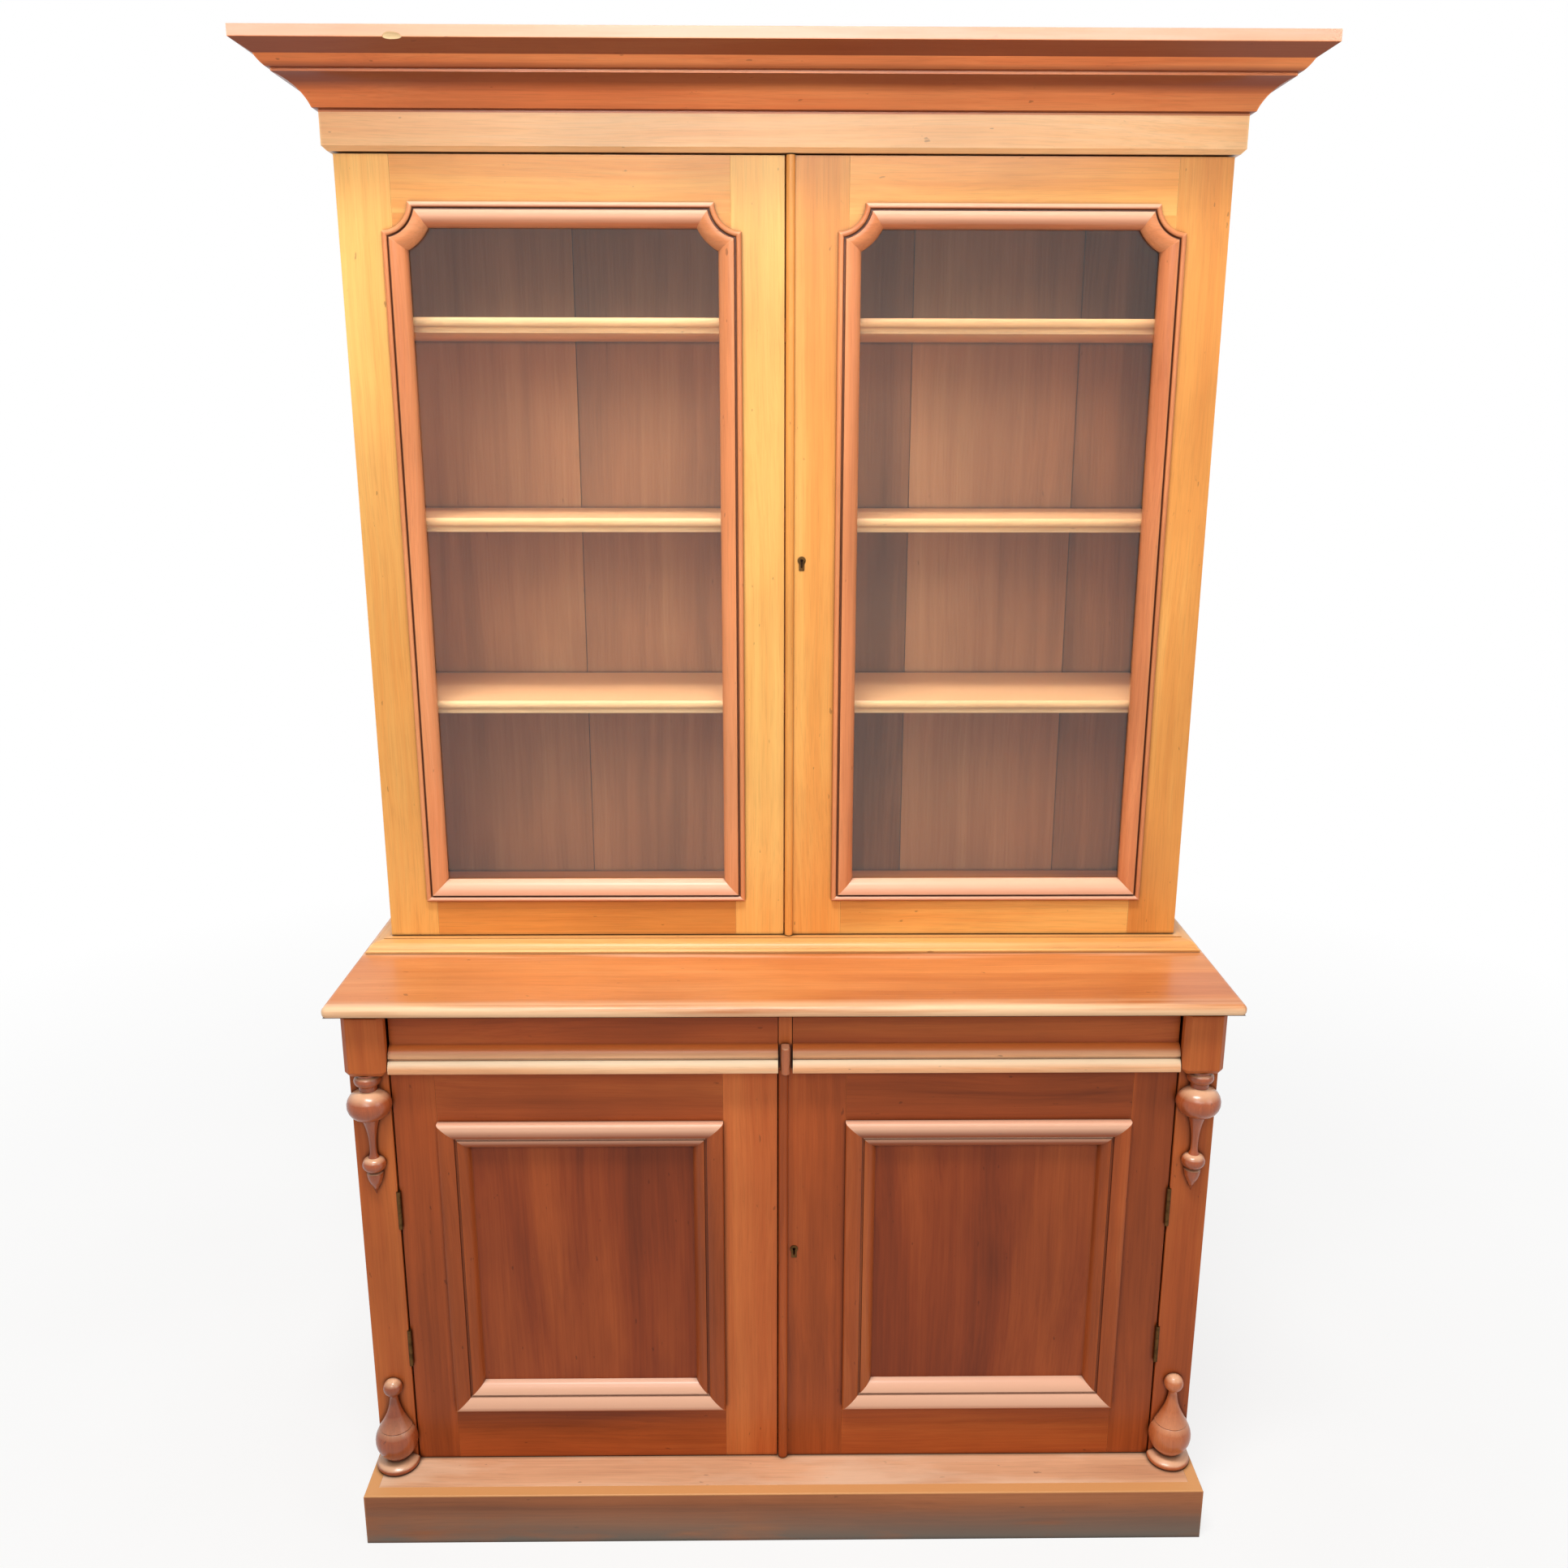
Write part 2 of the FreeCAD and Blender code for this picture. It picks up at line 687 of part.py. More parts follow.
def make_drawer_frame():
    rail_back = LOWER_FRONT + s.rail_deep
    rail_foot = DRAWER_FOOT - s.rail_thick
    rail = between("drawer_rail_blank", -LOWER_INSIDE, LOWER_INSIDE, LOWER_FRONT, rail_back, rail_foot, DRAWER_FOOT)
    node(cut("drawer_rail", rail, [bolt_hole("lower")]))
    node(between("dust_board", -LOWER_INSIDE, LOWER_INSIDE, rail_back, INSIDE_BACK, rail_foot, DRAWER_FOOT))
    half = s.divider_thick / 2
    divider = between("divider_board", -half, half, PILASTER_FACE, INSIDE_BACK, DRAWER_FOOT, LOWER_TOP)
    nose = doc.addObject("PartDesign::Body", "divider_nose")
    wide = s.nose_wide / 2
    plan = [(-wide, ZERO), (-wide, wide - s.nose_proud), (wide, wide - s.nose_proud, 1), (wide, ZERO)]
    pad(nose, outline(nose, "divider_nose_plan", "XY_Plane", plan), s.nose_high)
    top = s.nose_high.value
    rounded(nose, "Fillet", "Radius", s.nose_round,
            lambda box: flat(box.ZMin, top) and not flat(box.YMax, box.YMin))
    place(nose, ZERO, PILASTER_FACE, DRAWER_FOOT)
    node(group("drawer_divider", [divider, nose]))
    guides = [beside("drawer_guide_" + side, sign, BLOCK_INSIDE, LOWER_INSIDE, LOWER_FRONT, INSIDE_BACK,
                     DRAWER_FOOT, LOWER_TOP) for side, sign in SIDES]
    node(group("drawer_guides", guides))


def make_cupboard_shelf():
    top = PLINTH_TOP + s.cupboard_shelf_up
    foot = top - s.cupboard_shelf_thick
    front = LOWER_FRONT + s.cupboard_shelf_setback
    inside = LOWER_INSIDE - s.shelf_play
    node(between("cupboard_shelf", -inside, inside, front, INSIDE_BACK - s.shelf_play, foot, top))
    bearers = [beside("bearer_" + side, sign, LOWER_INSIDE - s.bearer, LOWER_INSIDE, front, INSIDE_BACK,
                      foot - s.bearer, foot) for side, sign in SIDES]
    node(group("cupboard_shelf_bearers", bearers))


def make_lower_top_board():
    """The projecting top of the lower stage, its edge rounded on the front and both ends."""
    half = LOWER_HALF + s.board_overhang
    front = PILASTER_FACE - s.block_proud - s.board_overhang
    body = doc.addObject("PartDesign::Body", "lower_top_board")
    plan = [(-half, front), (half, front), (half, BACK), (-half, BACK)]
    pad(body, outline(body, "lower_top_board_plan", "XY_Plane", plan), s.board_thick)
    back = BACK.value
    top = s.board_thick.value
    rounded(body, "Fillet", "Radius", s.board_top_round,
            lambda box: flat(box.ZMin, top) and not flat(box.YMin, back))
    rounded(body, "Fillet", "Radius", s.board_foot_round,
            lambda box: flat(box.ZMax, 0) and not flat(box.YMin, back))
    node(place(body, ZERO, ZERO, LOWER_TOP))


# Upper carcase

def make_upper_carcase():
    sides = []
    heights = (s.shelf_low_up, s.shelf_mid_up, s.shelf_high_up)
    peg_y = (UPPER_FRONT + s.shelf_setback + s.peg_inset, INSIDE_BACK - s.peg_inset)
    pegs = []
    for side, sign in SIDES:
        blank = beside("upper_side_blank_" + side, sign, UPPER_INSIDE, UPPER_HALF, UPPER_FRONT, INSIDE_BACK,
                       BOARD_TOP, CARCASE_TOP)
        own = []
        for row, up in enumerate(heights, start=1):
            z = WAIST_TOP + up - s.shelf_thick - s.peg_radius
            for column, y in enumerate(peg_y, start=1):
                start = (UPPER_INSIDE + s.peg_sunk - s.peg_long) * sign
                own.append(rod("peg_%s_%d_%d" % (side, row, column), s.peg_radius, s.peg_long, start, y, z,
                               ((0, 1, 0), 90 * sign)))
        pegs.extend(own)
        tools = own + at_hinges(fixed_recess, "upper", side, sign)
        sides.append(cut("upper_side_" + side, blank, tools))
    node(group("upper_sides", sides))
    node(group("shelf_pegs", pegs))
    floor = BOARD_TOP + s.upper_floor_up
    node(between("upper_bottom_board", -UPPER_INSIDE, UPPER_INSIDE, UPPER_FRONT, INSIDE_BACK,
                 floor, floor + s.upper_floor_thick))
    ceiling = between("upper_top_board_blank", -UPPER_INSIDE, UPPER_INSIDE, UPPER_FRONT, INSIDE_BACK,
                      UPPER_CEILING, UPPER_CEILING + s.upper_top_thick)
    node(cut("upper_top_board", ceiling, [bolt_hole("upper")]))
    back_boards("upper_back_boards", UPPER_HALF, BOARD_TOP, CARCASE_TOP)


# The shelf's front edge, as shares of its thickness: a round over a step and a hollow
SHELF_EDGE_SHARES = [(-0.42, 0), (-0.3, 0.36, -0.3), (-0.1, 0.42), (-0.06, 1, 0.5)]


def make_shelves():
    """Three loose shelves with a moulded front edge, on pegs."""
    wide = (UPPER_INSIDE - s.shelf_play) * 2
    front = UPPER_FRONT + s.shelf_setback
    deep = INSIDE_BACK - s.shelf_play - front
    edge = [(s.shelf_thick * point[0], s.shelf_thick * point[1]) + tuple(point[2:]) for point in SHELF_EDGE_SHARES]
    for name, up in (("bottom_shelf", s.shelf_low_up), ("middle_shelf", s.shelf_mid_up),
                     ("top_shelf", s.shelf_high_up)):
        profile = [(-deep, ZERO)] + edge + [(-deep, s.shelf_thick)]
        node(place(run(name, wide, profile, ("square", "square")), -wide / 2, front, WAIST_TOP + up - s.shelf_thick))


# Waist moulding, frieze and cornice. The outlines give how far out and how high, as shares

WAIST_SHARES = [(0, 0), (1, 0), (1, 0.2), (0.9, 0.32), (0.66, 0.82, 0.25), (0.3, 0.92), (0.3, 1), (0, 1)]
CORNICE_SHARES = [(0, 0), (0.0, 0.035), (0.08, 0.05), (0.535, 0.465, -0.23), (0.535, 0.505), (0.6, 0.52),
                  (0.73, 0.67, 0.1), (1, 0.83), (1, 1)]


def make_waist():
    profile = [(s.waist_proud * out, s.waist_high * up) + tuple(rest) for out, up, *rest in WAIST_SHARES]
    rail = between("waist_rail", -UPPER_HALF, UPPER_HALF, UPPER_DOOR_FACE, UPPER_FRONT, BOARD_TOP, WAIST_TOP)
    node(wrapped("waist_moulding", s.upper_wide, UPPER_DOOR_FACE, BOARD_TOP, profile, [rail]))


def make_frieze():
    """Plain boards planted on the carcase above the doors, chamfered along the foot."""
    profile = [(ZERO, ZERO), (s.frieze_proud - s.frieze_chamfer, ZERO), (s.frieze_proud, s.frieze_chamfer),
               (s.frieze_proud, s.frieze_high), (ZERO, s.frieze_high)]
    rail = between("frieze_rail", -UPPER_HALF, UPPER_HALF, UPPER_DOOR_FACE, UPPER_FRONT, FRIEZE_FOOT, CARCASE_TOP)
    node(wrapped("frieze_boards", s.upper_wide, UPPER_DOOR_FACE, FRIEZE_FOOT, profile, [rail]))


def make_cornice():
    """Three mitred lengths on the frieze, rebated on top for a thin dust board."""
    face = [(s.frieze_proud + s.cornice_proud * out, s.cornice_high * up) + tuple(rest)
            for out, up, *rest in CORNICE_SHARES]
    ledge = s.cornice_high - s.dust_board_thick
    profile = [(ZERO, ZERO)] + face + [(s.cornice_rebate_wide, s.cornice_high), (s.cornice_rebate_wide, ledge),
                                       (ZERO, ledge)]
    node(wrapped("cornice", s.upper_wide, UPPER_DOOR_FACE, CORNICE_FOOT, profile))
    reach = s.cornice_rebate_wide - s.dust_board_play
    half = UPPER_HALF + reach
    node(between("cornice_dust_board", -half, half, UPPER_DOOR_FACE - reach, BACK, CARCASE_TOP,
                 CARCASE_TOP + s.dust_board_thick))


# Doors

def door_span(stage, side):
    """The left and right edge of a door."""
    if stage == "upper":
        hinge_edge, meeting = UPPER_HALF, ZERO
    else:
        hinge_edge, meeting = PILASTER_INSIDE - s.door_gap, -s.lower_meeting
    half_gap = s.door_gap / 2
    return (-hinge_edge, meeting - half_gap) if side == "left" else (meeting + half_gap, hinge_edge)


def keyhole(name, x, z, y0, y1):
    """A key's hole and the slot below it, through a thickness."""
    hole = rod(name + "_hole", s.keyhole_radius, y1 - y0, x, y1, z, ((1, 0, 0), 90))
    half = s.keyhole_slot / 2
    slot = between(name + "_slot", x - half, x + half, y0, y1, z - s.keyhole_long, z)
    return joined(name, [hole, slot])


def lock_place(stage):
    """Where the lock of a stage sits: the right door's meeting edge, the lock's height, and the
    door's front and back planes."""
    edge = door_span(stage, "right")[0]
    if stage == "upper":
        return edge, UPPER_DOOR_FOOT + s.upper_keyhole_up, UPPER_DOOR_FACE, UPPER_DOOR_BACK
    return edge, PLINTH_TOP + s.lower_keyhole_up, LOWER_DOOR_FACE, LOWER_DOOR_BACK


def lock_bolt_box(name, stage, grow, x0, x1):
    """The lock bolt's section between two planes in x, grown all round by a clearance."""
    edge, z, face, back = lock_place(stage)
    middle = back - s.lock_thick / 2
    thick = s.lock_bolt_thick / 2 + grow
    high = s.lock_bolt_high / 2 + grow
    return between(name, edge + x0, edge + x1, middle - thick, middle + thick, z - high, z + high)


def bolt_place(stage):
    """Where a left door's flush bolt sits: its middle in x, the door's back plane, and the height
    that its tip is shot up to from below."""
    x = door_span(stage, "left")[1] - s.bolt_inset
    if stage == "upper":
        return x, UPPER_DOOR_BACK, UPPER_CEILING
    return x, LOWER_DOOR_BACK, DRAWER_FOOT - s.rail_thick


def bolt_bar(name, stage, grow, z0, z1):
    """The flush bolt's square section between two heights, grown by a clearance."""
    x, back, roof = bolt_place(stage)
    half = s.bolt_side / 2 + grow
    middle = back + s.bolt_case_thick / 2
    return between(name, x - half, x + half, middle - half, middle + half, z0, z1)


def bolt_hole(stage):
    """The hole that a left door's flush bolt is shot into."""
    roof = bolt_place(stage)[2]
    return bolt_bar(stage + "_bolt_hole", stage, s.bolt_hole_clear, roof - s.overrun, roof + s.bolt_hole_deep)


def flush_bolt(stage):
    """A left door's flush bolt: its case, and the bolt with a knob that runs in a slot."""
    x, back, roof = bolt_place(stage)
    tip = roof - s.bolt_rest_down
    foot = tip - s.bolt_long
    case_top = roof - s.bolt_case_down
    case_foot = case_top - s.bolt_case_high
    half = s.bolt_case_wide / 2
    blank = between(stage + "_bolt_case_blank", x - half, x + half, back, back + s.bolt_case_thick,
                    case_foot, case_top)
    over = s.overrun
    channel = bolt_bar(stage + "_bolt_channel", stage, s.slide_clear, case_foot - over, case_top + over)
    knob_foot = (case_foot + case_top - s.bolt_travel - s.bolt_knob_high) / 2
    slot_half = s.bolt_side / 2 + s.slide_clear
    slot = between(stage + "_bolt_slot", x - slot_half, x + slot_half, back + s.bolt_case_thick / 2,
                   back + s.bolt_case_thick + over, knob_foot - s.slide_clear,
                   knob_foot + s.bolt_knob_high + s.bolt_travel + s.slide_clear)
    case = cut(stage + "_bolt_case", blank, [joined(stage + "_bolt_room", [channel, slot])])
    knob_half = s.bolt_side / 2
    knob = between(stage + "_bolt_knob", x - knob_half, x + knob_half, back + s.bolt_case_thick / 2,
                   back + s.bolt_case_thick + s.bolt_knob_proud, knob_foot, knob_foot + s.bolt_knob_high)
    node(joined("%s_left_flush_bolt" % stage, [bolt_bar(stage + "_bolt_bar", stage, ZERO, foot, tip), knob]))
    return case


def escutcheon(stage):
    """A brass keyhole plate, round over a short tail, on the door's face."""
    edge, z, face, back = lock_place(stage)
    x = edge + s.keyhole_inset
    name = stage + "_escutcheon"
    plate = rod(name + "_round", s.escutcheon_radius, s.escutcheon_thick, x, face, z, ((1, 0, 0), 90))
    half = s.escutcheon_wide / 2
    tail = between(name + "_tail", x - half, x + half, face - s.escutcheon_thick, face, z - s.escutcheon_long, z)
    hole = keyhole(name + "_keyhole", x, z, face - s.escutcheon_thick - s.overrun, face + s.overrun)
    return cut(name, joined(name + "_blank", [plate, tail]), [hole])


def make_lock(stage):
    """A cut lock let into the back of the right door, its escutcheon, and its bolt."""
    edge, z, face, back = lock_place(stage)
    high = s.lock_high / 2
    blank = between(stage + "_lock_blank", edge, edge + s.lock_wide, back - s.lock_thick, back, z - high, z + high)
    channel = lock_bolt_box(stage + "_lock_channel", stage, s.slide_clear, -s.overrun,
                            s.lock_bolt_back + s.lock_bolt_long + s.slide_clear)
    node(group(stage + "_lock", [cut(stage + "_lock_case", blank, [channel]), escutcheon(stage)]))
    node(lock_bolt_box(stage + "_lock_bolt", stage, ZERO, s.lock_bolt_back, s.lock_bolt_back + s.lock_bolt_long))


def lock_recess(stage):
    """What the lock takes out of the right door: its bed and the keyhole."""
    edge, z, face, back = lock_place(stage)
    high = s.lock_high / 2
    bed = between(stage + "_lock_bed", edge - s.overrun, edge + s.lock_wide, back - s.lock_thick,
                  back + s.overrun, z - high, z + high)
    hole = keyhole(stage + "_door_keyhole", edge + s.keyhole_inset, z, face - s.overrun, back - s.lock_thick)
    return [bed, hole]


def lock_mortise(stage):
    """What the lock bolt is shot into, in the left door's meeting edge."""
    return [lock_bolt_box(stage + "_mortise", stage, s.mortise_clear, -s.door_gap - s.mortise_deep,
                          -s.door_gap + s.overrun)]


def cock_bead(stage, wide, foot, top):
    """The half-round bead down the right door's meeting stile, which hides the joint."""
    edge, z, face, back = lock_place(stage)
    body = doc.addObject("PartDesign::Body", stage + "_cock_bead")
    rise = s.bead_proud.value / (wide.value / 2)
    pad(body, outline(body, stage + "_cock_bead_plan", "XY_Plane", [(ZERO, ZERO), (wide, ZERO, rise)]), top - foot)
    return node(place(body, edge, face, foot))


def frame_boards(name, x0, x1, y0, y1, z0, z1, left, right, foot, head):
    """Two stiles the full height of a door and two rails between them."""
    return {
        "left_stile": between(name + "_left_stile", x0, x0 + left, y0, y1, z0, z1),
        "right_stile": between(name + "_right_stile", x1 - right, x1, y0, y1, z0, z1),
        "bottom_rail": between(name + "_bottom_rail", x0 + left, x1 - right, y0, y1, z0, z0 + foot),
        "top_rail": between(name + "_top_rail", x0 + left, x1 - right, y0, y1, z1 - head, z1),
    }


def stile_cuts(stage, side, sign):
    """The hinge recesses of a door, and its lock's or its mortise's cuts."""
    recesses = at_hinges(moving_recess, stage, side, sign)
    return recesses, (lock_mortise(stage) if side == "left" else lock_recess(stage))


def brassware(stage, side, sign):
    """A door's hinge leaves, and on the left doors the flush bolt's case."""
    parts = at_hinges(moving_leaf, stage, side, sign)
    if side == "left":
        parts.append(flush_bolt(stage))
    node(group("%s_%s_door_brassware" % (stage, side), parts))


# The glazing moulding's outline, as shares of its width: a bead, a quirk and a wide round that
# falls to the glass
GLAZING_SHARES = [(0.13, 0), (0.13, 0.24, 0.9), (0.08, 0.25), (0.08, 0.29), (0.25, 0.33), (-0.12, 1, 0.37)]


def glazing_profile():
    wide = s.glazing_wide
    face = [(wide * point[0], wide * point[1]) + tuple(point[2:]) for point in GLAZING_SHARES]
    return [(ZERO, ZERO)] + face + [(-s.glazing_lip, wide), (-s.glazing_lip, s.glazing_lap), (ZERO, s.glazing_lap)]


def scooped_corner(name):
    """The concave corner piece of the glazing moulding, about the corner of its outline. It runs
    from the top length, towards +X, to the upright, towards -Z."""
    body = doc.addObject("PartDesign::Body", name)
    points = [(s.scoop_radius + point[1], -Size.of(point[0])) + tuple(point[2:])
              for point in glazing_profile()]
    sketch = outline(body, name + "_profile", "XY_Plane", points)
    spin = body.newObject("PartDesign::Revolution", name + "_turning")
    spin.Profile = sketch
    spin.ReferenceAxis = (sketch, ["V_Axis"])
    spin.Angle = 360
    over = s.overrun
    wide = s.glazing_wide
    far = s.scoop_radius + wide + over
    line = [(along, -across) for along, across in scoop_line()]
    top = line + [(far, -wide), (far, far), (-far, far), (-far, ZERO)]
    pocket(body, outline(body, name + "_top_cut", "XZ_Plane", top))
    down = [(-up, -along) for along, up in line]
    low = down + [(wide, -far), (-far, -far), (-far, over), (ZERO, over)]
    pocket(body, outline(body, name + "_side_cut", "XZ_Plane", low))
    return body


def make_glazing(name, x0, x1, y, z0, z1):
    """Six lengths of glazing moulding: square at the foot, scooped at the top corners."""
    profile = glazing_profile()
    wide, high = x1 - x0, z1 - z0
    foot = place(run(name + "_foot", wide, profile, ("in", "in")), x0, y, z0)
    head = place(run(name + "_head", wide, profile, ("scoop", "scoop")), x1, y, z1, ((0, 1, 0), 180))
    left = place(run(name + "_left", high, profile, ("scoop", "in")), x0, y, z1, ((0, 1, 0), 90))
    right = place(run(name + "_right", high, profile, ("in", "scoop")), x1, y, z0, ((0, 1, 0), -90))
    corners = [place(scooped_corner(name + "_left_scoop"), x0, y, z1),
               place(scooped_corner(name + "_right_scoop"), x1, y, z1, ((0, 1, 0), 90))]
    node(group(name, [foot, head, left, right] + corners))


def scoop_ear(name, x, y, z, sign):
    """The ear that fills a top corner of the opening behind the scoop, part of the top rail."""
    reach = s.scoop_radius + s.glazing_lap
    lap = s.glazing_lap
    disc = rod(name + "_disc", reach, s.glazing_lip, x, y + s.glazing_lip, z, ((1, 0, 0), 90))
    low, high = (x + lap, x + reach) if sign > 0 else (x - reach, x - lap)
    corner = between(name + "_corner", low, high, y - s.overrun, y + s.glazing_lip + s.overrun, z - reach, z - lap)
    ear = doc.addObject("Part::Common", name)
    ear.Base = disc
    ear.Tool = corner
    return ear


def make_upper_door(side, sign):
    name = "upper_%s_door" % side
    x0, x1 = door_span("upper", side)
    y0, y1, z0, z1 = UPPER_DOOR_FACE, UPPER_DOOR_BACK, UPPER_DOOR_FOOT, UPPER_DOOR_TOP
    bead = s.upper_bead_wide if side == "right" else ZERO
    lap = s.glazing_lap
    left = s.upper_margin + bead + lap
    right = s.upper_margin + lap
    parts = frame_boards(name, x0, x1, y0, y1, z0, z1, left, right, s.upper_bottom_margin + lap,
                         s.upper_top_margin + lap)
    out_x0, out_x1 = x0 + left - lap, x1 - s.upper_margin
    out_z0, out_z1 = z0 + s.upper_bottom_margin, z1 - s.upper_top_margin
    ears = [scoop_ear(name + "_ear_left", out_x0, y0, out_z1, 1), scoop_ear(name + "_ear_right", out_x1, y0, out_z1, -1)]
    head = joined(name + "_head_rail", [parts["top_rail"]] + ears)
    recesses, lock_cuts = stile_cuts("upper", side, sign)
    hinge_stile, meeting_stile = ("left_stile", "right_stile") if side == "left" else ("right_stile", "left_stile")
    stiles = [cut(name + "_hinge_stile", parts[hinge_stile], recesses),
              cut(name + "_meeting_stile", parts[meeting_stile], lock_cuts)]
    node(group(name + "_frame", stiles + [parts["bottom_rail"], head]))
    make_glazing(name + "_moulding", out_x0, out_x1, y0, out_z0, out_z1)
    in_x0, in_x1 = out_x0 + lap, out_x1 - lap
    in_z0, in_z1 = out_z0 + lap, out_z1 - lap
    play = s.glass_play
    glass = y0 + s.glazing_lip
    behind = glass + s.glass_thick
    node(between(name + "_glass", in_x0 + play, in_x1 - play, glass, behind, in_z0 + play, in_z1 - play))
    bead_side = s.door_thick - s.glazing_lip - s.glass_thick
    beads = [between(name + "_bead_foot", in_x0, in_x1, behind, y1, in_z0, in_z0 + bead_side),
             between(name + "_bead_head", in_x0, in_x1, behind, y1, in_z1 - bead_side, in_z1),
             between(name + "_bead_left", in_x0, in_x0 + bead_side, behind, y1, in_z0 + bead_side, in_z1 - bead_side),
             between(name + "_bead_right", in_x1 - bead_side, in_x1, behind, y1, in_z0 + bead_side,
                     in_z1 - bead_side)]
    node(group(name + "_glass_beads", beads))
    brassware("upper", side, sign)


# The panel moulding's outline, as shares of its width: two rounded steps down to the panel
PANEL_MOULDING_SHARES = [(0.17, 0), (0.29, 0.1, 0.4), (0.18, 0.53, 0.2), (0.12, 0.54), (0.12, 0.6),
                         (0.16, 0.62), (-0.06, 0.95, 0.25)]


def make_lower_door(side, sign):
    name = "lower_%s_door" % side
    x0, x1 = door_span("lower", side)
    y0, y1, z0, z1 = LOWER_DOOR_FACE, LOWER_DOOR_BACK, LOWER_DOOR_FOOT, LOWER_DOOR_TOP
    left, right = ((s.lower_stile, s.lower_left_meeting_stile) if side == "left"
                   else (s.lower_right_meeting_stile, s.lower_stile))
    parts = frame_boards(name, x0, x1, y0, y1, z0, z1, left, right, s.lower_bottom_rail, s.lower_top_rail)
    in_x0, in_x1 = x0 + left, x1 - right
    in_z0, in_z1 = z0 + s.lower_bottom_rail, z1 - s.lower_top_rail
    groove_y = y0 + s.panel_setback
    deep = s.panel_groove
    tight = deep - s.panel_play
    groove = between(name + "_groove", in_x0 - deep, in_x1 + deep, groove_y, groove_y + s.panel_thick,
                     in_z0 - deep, in_z1 + deep)
    recesses, lock_cuts = stile_cuts("lower", side, sign)
    hinge_stile, meeting_stile = ("left_stile", "right_stile") if side == "left" else ("right_stile", "left_stile")
    stiles = [cut(name + "_hinge_stile", parts[hinge_stile], recesses + [groove]),
              cut(name + "_meeting_stile", parts[meeting_stile], lock_cuts + [groove])]
    rails = [cut(name + "_rail_foot", parts["bottom_rail"], [groove]),
             cut(name + "_rail_head", parts["top_rail"], [groove])]
    node(group(name + "_frame", stiles + rails))
    node(between(name + "_panel", in_x0 - tight, in_x1 + tight, groove_y, groove_y + s.panel_thick,
                 in_z0 - tight, in_z1 + tight))
    wide = s.panel_moulding_wide
    face = [(wide * point[0], wide * point[1]) + tuple(point[2:]) for point in PANEL_MOULDING_SHARES]
    profile = [(-s.panel_setback, ZERO)] + face + [(-s.panel_setback, wide)]
    across, high = in_x1 - in_x0, in_z1 - in_z0
    mould = name + "_moulding"
    lengths = [place(run(mould + "_foot", across, profile, ("in", "in")), in_x0, y0, in_z0),
               place(run(mould + "_head", across, profile, ("in", "in")), in_x1, y0, in_z1, ((0, 1, 0), 180)),
               place(run(mould + "_left", high, profile, ("in", "in")), in_x0, y0, in_z1, ((0, 1, 0), 90)),
               place(run(mould + "_right", high, profile, ("in", "in")), in_x1, y0, in_z0, ((0, 1, 0), -90))]
    node(group(mould, lengths))
    brassware("lower", side, sign)


# Drawers. The pull's outline gives how far out and how high, as shares of its height
PULL_SHARES = [(0, 0), (0.38, 0), (0.46, 0.07, 0.35), (0.33, 0.48, 0.28), (0.28, 0.49), (0.28, 0.54),
               (0.32, 0.57), (0.1, 0.93, 0.3), (0, 0.97)]


def make_drawer(side, sign):
    name = side + "_drawer"
    near = s.divider_thick / 2 + s.drawer_clear
    far = BLOCK_INSIDE - s.drawer_clear
    foot, top = DRAWER_FOOT + s.door_clear, LOWER_TOP - s.door_clear
    behind = PILASTER_FACE + s.drawer_front_thick
    plate = beside(name + "_plate", sign, near, far, PILASTER_FACE, behind, foot, top)
    profile = [(s.pull_high * point[0], s.pull_high * point[1]) + tuple(point[2:]) for point in PULL_SHARES]
    low = near if sign > 0 else -far
    pull = place(run(name + "_pull", far - near, profile, ("square", "square")), low, PILASTER_FACE, foot)
    node(group(name + "_front", [plate, pull]))
    inset = s.drawer_box_inset
    box_near, box_far = near + inset, far - inset
    end = behind + s.drawer_deep
    box_foot = DRAWER_FOOT + s.drawer_lift
    box_top = LOWER_TOP - s.drawer_box_down
    wall = s.drawer_side
    base = box_foot + s.drawer_bottom_up
    parts = [beside(name + "_inner_side", sign, box_near, box_near + wall, behind, end, box_foot, box_top),
             beside(name + "_outer_side", sign, box_far - wall, box_far, behind, end, box_foot, box_top),
             beside(name + "_back", sign, box_near + wall, box_far - wall, end - wall, end,
                    base + s.drawer_bottom, box_top),
             beside(name + "_bottom", sign, box_near + wall, box_far - wall, behind, end, base,
                    base + s.drawer_bottom)]
    node(group(name + "_box", parts))


# Build, check and write

make_plinth()
make_lower_carcase()
make_corner_blocks()
make_turnings()
make_drawer_frame()
make_cupboard_shelf()
make_lower_top_board()
make_upper_carcase()
make_shelves()
make_waist()
make_frieze()
make_cornice()
for side, sign in SIDES:
    make_upper_door(side, sign)
    make_lower_door(side, sign)
    make_drawer(side, sign)
for stage in ("upper", "lower"):
    make_lock(stage)
cock_bead("upper", s.upper_bead_wide, UPPER_DOOR_FOOT, UPPER_DOOR_TOP)
cock_bead("lower", s.lower_bead_wide, LOWER_DOOR_FOOT, LOWER_DOOR_TOP)

places = [(stage, side, sign) for stage in ("upper", "lower") for side, sign in SIDES]
node(group("carcase_hinge_leaves", [leaf for spot in places for leaf in at_hinges(fixed_leaf, *spot)]))
node(group("hinge_pins", [pin for spot in places for pin in at_hinges(hinge_pin, *spot)]))

